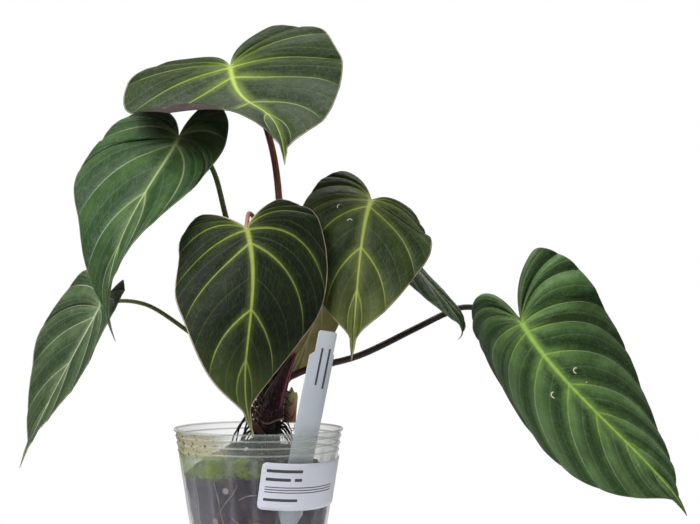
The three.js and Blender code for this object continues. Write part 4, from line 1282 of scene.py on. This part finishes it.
def soil_body():
    sides, levels, rings = 160, 44, 30
    points = [(0, 0, MIX_FOOT)]
    for level in range(levels):
        z = blend(MIX_FOOT, MIX_EDGE, level / (levels - 1))
        radius = pot_radius(z) - MIX_GAP
        for turn in turns_of(sides):
            way = round_axis(1, turn)
            spot = way * radius + (0, 0, z)
            dent = -0.5 - 0.9 * rough(spot, 0.12) - 0.5 * rough(spot, 0.27, 3)
            if level in (0, levels - 1):
                dent = 0
            height = soil_level(spot[0], spot[1]) if level == levels - 1 else z
            points.append(behind_tag(spot + way * min(dent, 0) + (0, 0, height - z)))
    for ring in range(1, rings):
        radius = MIX_RADIUS * (1 - ring / rings)
        for turn in turns_of(sides):
            x, y, _ = round_axis(radius, turn)
            bump = 0.7 * rough((x, y, 0), 0.4) + 0.5 * rough((x, y, 0), 1.0, 4)
            points.append(behind_tag(np.array((x, y, soil_level(x, y) + bump))))
    points.append((0, 0, soil_level(0, 0)))
    return turned_piece("potting_mix", points, sides)


soil = soil_body()
soil_finish, soil_tree, soil_shader = new_finish("damp mix", Specular_IOR_Level=0.3)
soil_place = object_place(soil_tree)
voronoi = {"Vector": soil_place, "Randomness": 1.0}
chips = read(soil_tree, "ShaderNodeTexVoronoi", {**voronoi, "Scale": 260.0}, "Color")
tone = read(soil_tree, "ShaderNodeSeparateColor", {0: chips})
clumps = cloudy(soil_place, 70.0, 5.0)
patches = cloudy(soil_place, 32.0, 4.0)
grains = wires_of(add_node(soil_tree, "ShaderNodeTexVoronoi", {**voronoi, "Scale": 110.0}))
grain_pick = read(soil_tree, "ShaderNodeSeparateColor", {0: grains["Color"]}, 1)
grain = smooth_step(grain_pick, 0.93, 0.95) * smooth_step(grains["Distance"], 0.3, 0.2)
soil_x, _, soil_z = axes_of(soil_place)
# the mix is painted greyer on its lower left side, where the clear wall in front of it looks hazy
lower_left_grey = smooth_step(soil_x, 0.0, -0.035) * smooth_step(soil_z, 0.078, 0.06)
soil_color = layered(mix_paint(smooth_step(clumps, 0.38, 0.62), "0c090c", "332c36"),
                     (smooth_step(patches, 0.5, 0.62), "443d48"), (smooth_step(tone, 0.8, 1.0), "54423a"),
                     (smooth_step(clumps, 0.45, 0.4), "09070a"), (grain, "b5ada6"), (lower_left_grey * 0.22, "777680"))
feed(soil_shader.inputs, {"Base Color": soil_color, "Roughness": clumps * 0.4 + 0.45})
add_bump(soil_shader, clumps, 0.004, 0.8)
soil.data.materials.append(soil_finish)
print("mix faces:", len(soil.data.polygons))


# %% Bark chips and perlite
def lump(name, size, seed):
    """a small uneven stone of 20 faces; size gives its half widths, in millimetres"""
    g = (1 + math.sqrt(5)) / 2
    corners = [(-1, g, 0), (1, g, 0), (-1, -g, 0), (1, -g, 0), (0, -1, g), (0, 1, g),
               (0, -1, -g), (0, 1, -g), (g, 0, -1), (g, 0, 1), (-g, 0, -1), (-g, 0, 1)]
    faces = [(0, 11, 5), (0, 5, 1), (0, 1, 7), (0, 7, 10), (0, 10, 11), (1, 5, 9), (5, 11, 4),
             (11, 10, 2), (10, 7, 6), (7, 1, 8), (3, 9, 4), (3, 4, 2), (3, 2, 6), (3, 6, 8),
             (3, 8, 9), (4, 9, 5), (2, 4, 11), (6, 2, 10), (8, 6, 7), (9, 8, 1)]
    chance = np.random.default_rng(seed)
    points = np.array(corners) / 1.9 * chance.uniform(0.7, 1.15, (12, 1)) * size
    return template(name, points, faces)


def above_mix(tree):
    """picks the faces of the mix that look up"""
    _, _, level = axes_of(read(tree, "GeometryNodeInputNormal"))
    return read(tree, "FunctionNodeCompare", {0: level, 1: 0.5}, data_type="FLOAT", operation="GREATER_THAN")


chip_finish = fibre_finish("bark", "0d0a0a", "3d2b22", 160.0, 0.001, (1, 0.4, 1))
perlite_finish = fibre_finish("perlite", "a8a49c", "dedbd4", 260.0, 0.0006)
chip = lump("chip", (1.7, 1.0, 0.55), 3)
perlite_grain = lump("perlite grain", (0.8, 0.75, 0.6), 8)
chip_scatter = scatter_tree("bark on the mix", chip, chip_finish, density=210000, size=1, spread=0.45,
                            seed=2, tilt=0.5, only=above_mix)
perlite_scatter = scatter_tree("perlite on the mix", perlite_grain, perlite_finish, density=9000, size=1,
                               spread=0.4, seed=6, tilt=0.6, only=above_mix)
bark = grow_copies("bark_chips", soil, chip_scatter)
perlite = grow_copies("perlite", soil, perlite_scatter)
print("bark faces:", len(bark.data.polygons), "perlite faces:", len(perlite.data.polygons))


# %% Moss cushion and its tufts
MOSS_GAP = 1.4
MOSS_WIDTH = 17
MOSS_START = -72
MOSS_SPAN = 80


def moss_point(along, across, lift):
    """a point of the cushion, from its start round the wall and from the wall inwards"""
    reach = MIX_RADIUS - MOSS_GAP - MOSS_WIDTH * across
    x, y, _ = round_axis(reach, math.radians(MOSS_START + MOSS_SPAN * along))
    return np.array((x, y, soil_level(x, y) + lift))


def moss_cushion():
    rows, columns = 90, 26
    top, foot = [], []
    for r in range(rows):
        for c in range(columns):
            along, across = r / (rows - 1), c / (columns - 1)
            edge = math.sqrt(max(math.sin(math.pi * along), 0)) * (1 - across ** 2)
            tuft = 0.6 + 0.4 * abs(math.sin(along * 15 + across * 5))
            spot = moss_point(along, across, 5.5 * edge * tuft + 2.2)
            spot[2] += 0.5 * rough(spot, 0.8) * edge
            top.append(spot)
            foot.append(moss_point(along, across, -1.5))
    return make_piece("moss_cushion", top + foot, sheet_faces(rows, columns))


def green_finish(name, dark, light, scale):
    finish, tree, shader = new_finish(name, Roughness=0.85, Sheen_Weight=0.3)
    patches = cloudy(object_place(tree), scale, 5.0)
    feed(shader.inputs, {"Base Color": mix_paint(smooth_step(patches, 0.42, 0.62), dark, light)})
    add_bump(shader, cloudy(object_place(tree), 900.0), 0.0008, 0.9)
    return finish


moss = moss_cushion()
moss.data.materials.append(green_finish("moss", "131909", "7d9730", 75.0))
tuft_finish = green_finish("moss tips", "1c280c", "a8c044", 75.0)
tuft_points = [(0.2, 0, -0.2), (-0.2, 0, -0.2), (0.5, 0.3, 1.1), (0, 0.2, -0.2), (0, -0.2, -0.2),
               (-0.5, -0.3, 1.0), (-0.1, 0.5, 0.9)]
tuft = template("moss tuft", tuft_points, [(0, 1, 2), (3, 4, 5), (1, 3, 6), (0, 2, 1), (3, 5, 4), (1, 6, 3)])
moss_tufts = grow_copies("moss_tufts", moss, scatter_tree(
    "tufts on the moss", tuft, tuft_finish, density=1900000, size=0.9, spread=0.35, seed=3, tilt=0.5))
print("moss faces:", len(moss.data.polygons), "tuft faces:", len(moss_tufts.data.polygons))


# %% Pale roots along the wall
def wall_spot(turn_degrees, z):
    """a point just inside the wall, in millimetres"""
    return round_axis(pot_radius(z) - MIX_GAP + 0.1, math.radians(turn_degrees), z)


WALL_ROOTS = [
    [(-34.5, 85), (-33, 78), (-33.5, 70), (-31, 60), (-30, 50), (-27, 38), (-29, 24), (-24, 10)],
    [(-30.5, 51), (-24, 58), (-17, 65), (-13.5, 71)],
    [(-13, 60), (-7, 62.5), (-1, 63.5), (4, 63)],
    [(-58, 72), (-55, 60), (-57, 44), (-50, 30)],
    [(-20, 47), (-10, 42), (2, 44), (14, 38), (26, 30)],
    [(60, 50), (52, 38), (55, 22), (47, 12)],
    [(120, 70), (128, 52), (119, 30), (126, 12)],
    [(-140, 66), (-132, 48), (-139, 28), (-131, 10)],
    [(-95, 60), (-101, 40), (-96, 18)],
]
routes = [smooth_through([wall_spot(*spot) for spot in route], 44) for route in WALL_ROOTS]
wall_roots = join_rods("wall_roots", [(route, np.linspace(0.3, 0.18, 44), 8) for route in routes])
wall_roots.data.materials.append(fibre_finish("pale roots", "9a8474", "ddd6c8", 120.0, 0.0004, shine=0.4))
print("wall root faces:", len(wall_roots.data.polygons))

# %% [markdown]
# ## The clear pot
# The pot is a thin pressed cup of clear plastic. Three grooves stiffen its rim band and soft flutes stiffen
# the wall below. It is turned here as one closed wall, outside and inside, with fine steps round and up.


# %% Pot wall
FLUTE_COUNT = 20
FLUTES_END = 88
GROOVES = (90.6, 95.7, 100.8)
RIM_LINE = 105.2
POT_THICKNESS = 1
POT_BASE = 1.6
# heights and radii of the base's rounded edge and of the lip
POT_EDGE = [(0, 41.6), (0.5, 42.1)]
POT_LIP = [(103.6, pot_radius(103.6)), (103.9, 59.2), (104.3, 59.9), (105, 60), (105.7, 59.9), (106, 59.6),
           (106, 58.6), (105.6, 58.25)]


def pot_wall():
    sides = 360
    turns = turns_of(sides)
    flute = 0.5 * (0.5 + 0.5 * np.cos(FLUTE_COUNT * turns)) ** 2
    outer = [(z, radius, 0) for z, radius in POT_EDGE]
    for z in np.linspace(1.5, FLUTES_END, 40):
        outer.append((z, pot_radius(z), min(max(min(z - 0.5, FLUTES_END - z) / 2.5, 0), 1)))
    for groove in GROOVES:
        for step in np.linspace(-1.6, 1.6, 9):
            push = 0.6 * math.cos(min(abs(step) / 1.2, 1) * math.pi / 2) ** 2
            outer.append((groove + step, pot_radius(groove) + push, 0))
    outer += [(z, radius, 0) for z, radius in POT_LIP]
    inner = []
    for z in np.linspace(104, POT_BASE, 34):
        flute_room = (0.4 if z < FLUTES_END else 0) * (1 if z > 80 else 0.6)
        inner.append((z, pot_radius(z) - POT_THICKNESS - flute_room, 0))
    profile = outer + inner
    points = [(0, 0, 0)]
    for z, radius, ribs in profile:
        reach = radius + ribs * flute
        points += list(np.column_stack([reach * np.sin(turns), -reach * np.cos(turns), np.full(sides, z)]))
    points.append((0, 0, POT_BASE))
    return turned_piece("pot_wall", points, sides)


pot_piece = pot_wall()
pot_finish, pot_tree, pot_shader = new_finish("clear plastic", Roughness=0.22, Specular_IOR_Level=0.4)
pot_place = object_place(pot_tree)
pot_x, pot_y, pot_z = axes_of(pot_place)
bloom = cloudy(pot_place, 26.0, 5.0, 0.6)
speck_noise = cloudy(pot_place, 420.0, 3.0, 0.7)
# a beige patch of dried algae with black specks on the left of the rim band, green mist below it
near_left = smooth_step(pot_x, -0.012, -0.03) * smooth_step(pot_y, 0.005, -0.015)
on_band = smooth_step(pot_z, 0.085, 0.0905) * smooth_step(pot_z, 0.1055, 0.1035)
below_band = smooth_step(pot_z, 0.068, 0.08) * smooth_step(pot_z, 0.094, 0.086)
algae = near_left * on_band * smooth_step(bloom, 0.3, 0.5)
mist = near_left * below_band * smooth_step(bloom, 0.3, 0.6)
specks = math_node("MAXIMUM", near_left * on_band * smooth_step(bloom * 0.35 + speck_noise, 0.74, 0.8),
                   smooth_step(speck_noise, 0.7, 0.76) * 0.8)
flutes = (math_node("COSINE", math_node("ARCTAN2", pot_x, pot_y) * FLUTE_COUNT) * 0.5 + 0.5) ** 6.0
flutes = flutes * smooth_step(pot_z, 0.089, 0.086)
pot_color = layered(mix_paint(smooth_step(pot_z, 0.07, 0.09), "8b8a92", "b6bdb4"),
                    (algae, "b4b08e"), (mist, "7f9448"), (specks, "14130f"))
# the clear wall is denser where it is seen on edge, and in its flutes, grooves and stains
seen_on_edge = read(pot_tree, "ShaderNodeLayerWeight", {"Blend": 0.35}, output="Facing")
front_band = on_band * smooth_step(pot_y, 0.0, -0.03)
wall_alpha = (seen_on_edge * 0.42 + 0.03 + bloom * 0.05 + mist * 0.3 + front_band * 0.06
              + algae * 0.5 + flutes * 0.16)
for line_level in (*GROOVES, RIM_LINE):
    wall_alpha = wall_alpha + smooth_step(abs(pot_z - line_level * MM), 0.0008, 0.0002) * 0.3
wall_alpha = math_node("MINIMUM", math_node("MAXIMUM", wall_alpha, specks), 1.0)
feed(pot_shader.inputs, {"Base Color": pot_color, "Alpha": wall_alpha})
add_bump(pot_shader, bloom, 0.0006, 0.3)
pot_piece.data.materials.append(pot_finish)
print("pot faces:", len(pot_piece.data.polygons))

# %% [markdown]
# ## The tag and the label
# The tag is a stake of white plastic with a stepped head, pushed into the mix beside the wall. The label is
# a white sticker rolled on the cone of the wall. Both carry plain grey bars.


# %% Tag and label
TAG_HALF = 9.7
TAG_POINT = 16
TAG_HEAD = 15
TAG_MAP_MM = 200


def tag_piece():
    """a stake with a point below and a narrower head above its shoulders"""
    length = TAG_LENGTH
    shoulder = length - TAG_HEAD
    right, left, cut = 8.7, -5.9, 1.2
    outline = [(-2, 0), (2, 0), (TAG_HALF, TAG_POINT), (TAG_HALF, shoulder - cut), (right, shoulder),
               (right, length - cut), (right - cut, length), (left + cut, length), (left, length - cut),
               (left, shoulder), (-TAG_HALF, shoulder - 3), (-TAG_HALF, TAG_POINT)]
    points, uv = [], []
    for depth, inset in ((0.4, 0.12), (0.3, 0), (-0.3, 0), (-0.4, 0.12)):
        for spot in outline:
            x, y = spot - inset * np.sign(np.array(spot) - (0, length / 2))
            points.append(TAG_FOOT + TAG_ACROSS * x + TAG_UP * y + TAG_OUT * depth)
            uv.append((x / TAG_MAP_MM + 0.5, y / TAG_MAP_MM))
    count = len(outline)
    faces = [tuple(range(count)), tuple(range(3 * count, 4 * count))[::-1]]
    faces += grid_faces(4, count, True, 0, True)
    return make_piece("tag", points, faces, {"flat": [uv[i] for face in faces for i in face]})


LABEL_LENGTH = 88
LABEL_WIDTH = 33.2
LABEL_CORNER = 3.5
LABEL_LEVEL = 68.1
LABEL_TURN = math.radians(49.5)


def label_spot(along, up):
    """a point of the label, rolled on the cone of the wall; its corners are round"""
    lean = math.atan(POT_FLARE)
    apart = (pot_radius(LABEL_LEVEL) + 1.15) / math.sin(lean)
    distance = along * LABEL_LENGTH
    into_corner = LABEL_CORNER - min(distance, LABEL_LENGTH - distance)
    cut = LABEL_CORNER - math.sqrt(LABEL_CORNER ** 2 - into_corner ** 2) if into_corner > 0 else 0
    across = distance - LABEL_LENGTH / 2
    slant = apart + blend(cut, LABEL_WIDTH - cut, up) - LABEL_WIDTH / 2
    reach = math.hypot(across, slant)
    turn = LABEL_TURN + math.atan2(across, slant) / math.sin(lean)
    return round_axis(reach * math.sin(lean), turn, LABEL_LEVEL + (reach - apart) * math.cos(lean))


def label_piece():
    """the columns lie closer at the two ends, where the corners are"""
    middle = np.linspace(0.04, 0.96, 80)[1:-1]
    places = np.concatenate([np.linspace(0, 0.04, 9), middle, np.linspace(0.96, 1, 9)])
    even = np.linspace(0, 1, len(places))
    return thick_sheet("label", len(places), 14, lambda r, c: label_spot(np.interp(r, even, places), c), 0.5)


tag = tag_piece()
label = label_piece()
print("tag faces:", len(tag.data.polygons), "label faces:", len(label.data.polygons))


# %% White finishes with plain bars
BAR_VALUES = ("Low", "High", "From", "To", "Count", "Share")


def bars_group():
    """a mask of plain bars inside a box of a UV map: a number of bars across and their share of the space"""
    inputs = [(label, "Float") for label in ("Place", "Across", *BAR_VALUES)]
    tree, take, give = new_group("plain bars", inputs, [("Mask", "Float")])
    inside = (take["Place"] > take["Low"]) * (take["Place"] < take["High"])
    between = (take["Across"] > take["From"]) * (take["Across"] < take["To"])
    local = (take["Across"] - take["From"]) / (take["To"] - take["From"])
    phase = math_node("FRACT", local * take["Count"])
    bar = phase < take["Share"]
    feed(give, {"Mask": inside * between * bar})
    return tree


plain_bars = bars_group()


def white_finish(name, uv_map, white, ink, boxes, roughness):
    finish, tree, shader = new_finish(name, Roughness=roughness, Specular_IOR_Level=0.45)
    place, across, _ = axes_of(uv_place(tree, uv_map))
    color = mix_paint(cloudy(object_place(tree), 60.0, 4.0) * 0.25, white, "a9adb0")
    for box in boxes:
        values = {"Place": place, "Across": across, **dict(zip(BAR_VALUES, box))}
        color = mix_paint(place_group(tree, plain_bars, values)["Mask"], color, ink)
    feed(shader.inputs, {"Base Color": color})
    return finish


INK = "3c3c44"
LABEL_BARS = [(0.085, 0.36, 0.80, 0.865, 1.0, 1.0), (0.085, 0.27, 0.62, 0.685, 1.0, 1.0),
              (0.3, 0.36, 0.62, 0.685, 1.0, 1.0), (0.085, 0.7, 0.37, 0.53, 3.0, 0.4),
              (0.085, 0.34, 0.19, 0.25, 1.0, 1.0)]
TAG_BARS = [(0.493, 0.501, 0.535, 0.665, 1.0, 1.0), (0.523, 0.531, 0.525, 0.665, 1.0, 1.0)]
label.data.materials.append(white_finish("white label", "sheet", "dfe2ee", INK, LABEL_BARS, 0.35))
tag.data.materials.append(white_finish("white tag", "flat", "ccd4dd", INK, TAG_BARS, 0.4))
print("label and tag finished")

# %% [markdown]
# ## Everything in its place
# Each piece belongs to the plant's one body and takes the place of the solid that it was made from.
# The pieces that only add detail, such as bristles and bark chips, replace nothing.

# %% Ride and replace
LEAF_SLOTS = {
    "top": "leaf_grey_green", "upper_left": "leaf_green", "lower_left": "leaf_grey_green",
    "front": "leaf_dark", "right": "leaf_dark", "far_right": "leaf_green", "rear_right": "leaf_green",
    "back": "leaf_khaki"}
STALK_SLOTS = {"top": "stalk_red", "front": "stalk_red", "far_right": "stalk_dark"}
# a piece, the solid whose place it takes, and its slot
places = [
    (stem, "stem", "stem"), (roots, None, "stem"), (curls, None, "sheath_dry"),
    (sheath_dark, "sheath_dark", "sheath_dark"), (sheath_pale, "sheath_pale", "sheath_pale"),
    (sheath_dry, "sheath_dry", "sheath_dry"), (soil, "substrate", "potting_mix"),
    (bark, None, "potting_mix"), (perlite, None, "potting_mix"), (wall_roots, None, "potting_mix"),
    (moss, "moss", "moss"), (moss_tufts, None, "moss"), (pot_piece, "pot", "clear_plastic"),
    (tag, "plant_tag", "white_tag"), (label, "pot_label", "white_label")]
for name in LEAVES:
    stalk_slot = STALK_SLOTS.get(name, "stalk_green")
    places += [(blades[name], f"blade_{name}", LEAF_SLOTS[name]),
               (stalks[name], f"petiole_{name}", stalk_slot), (hairs[name], None, stalk_slot)]
for piece, node_name, slot_name in places:
    if node_name:
        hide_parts(node_name)
    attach(piece, "root")
print("pieces in place:", len(places))
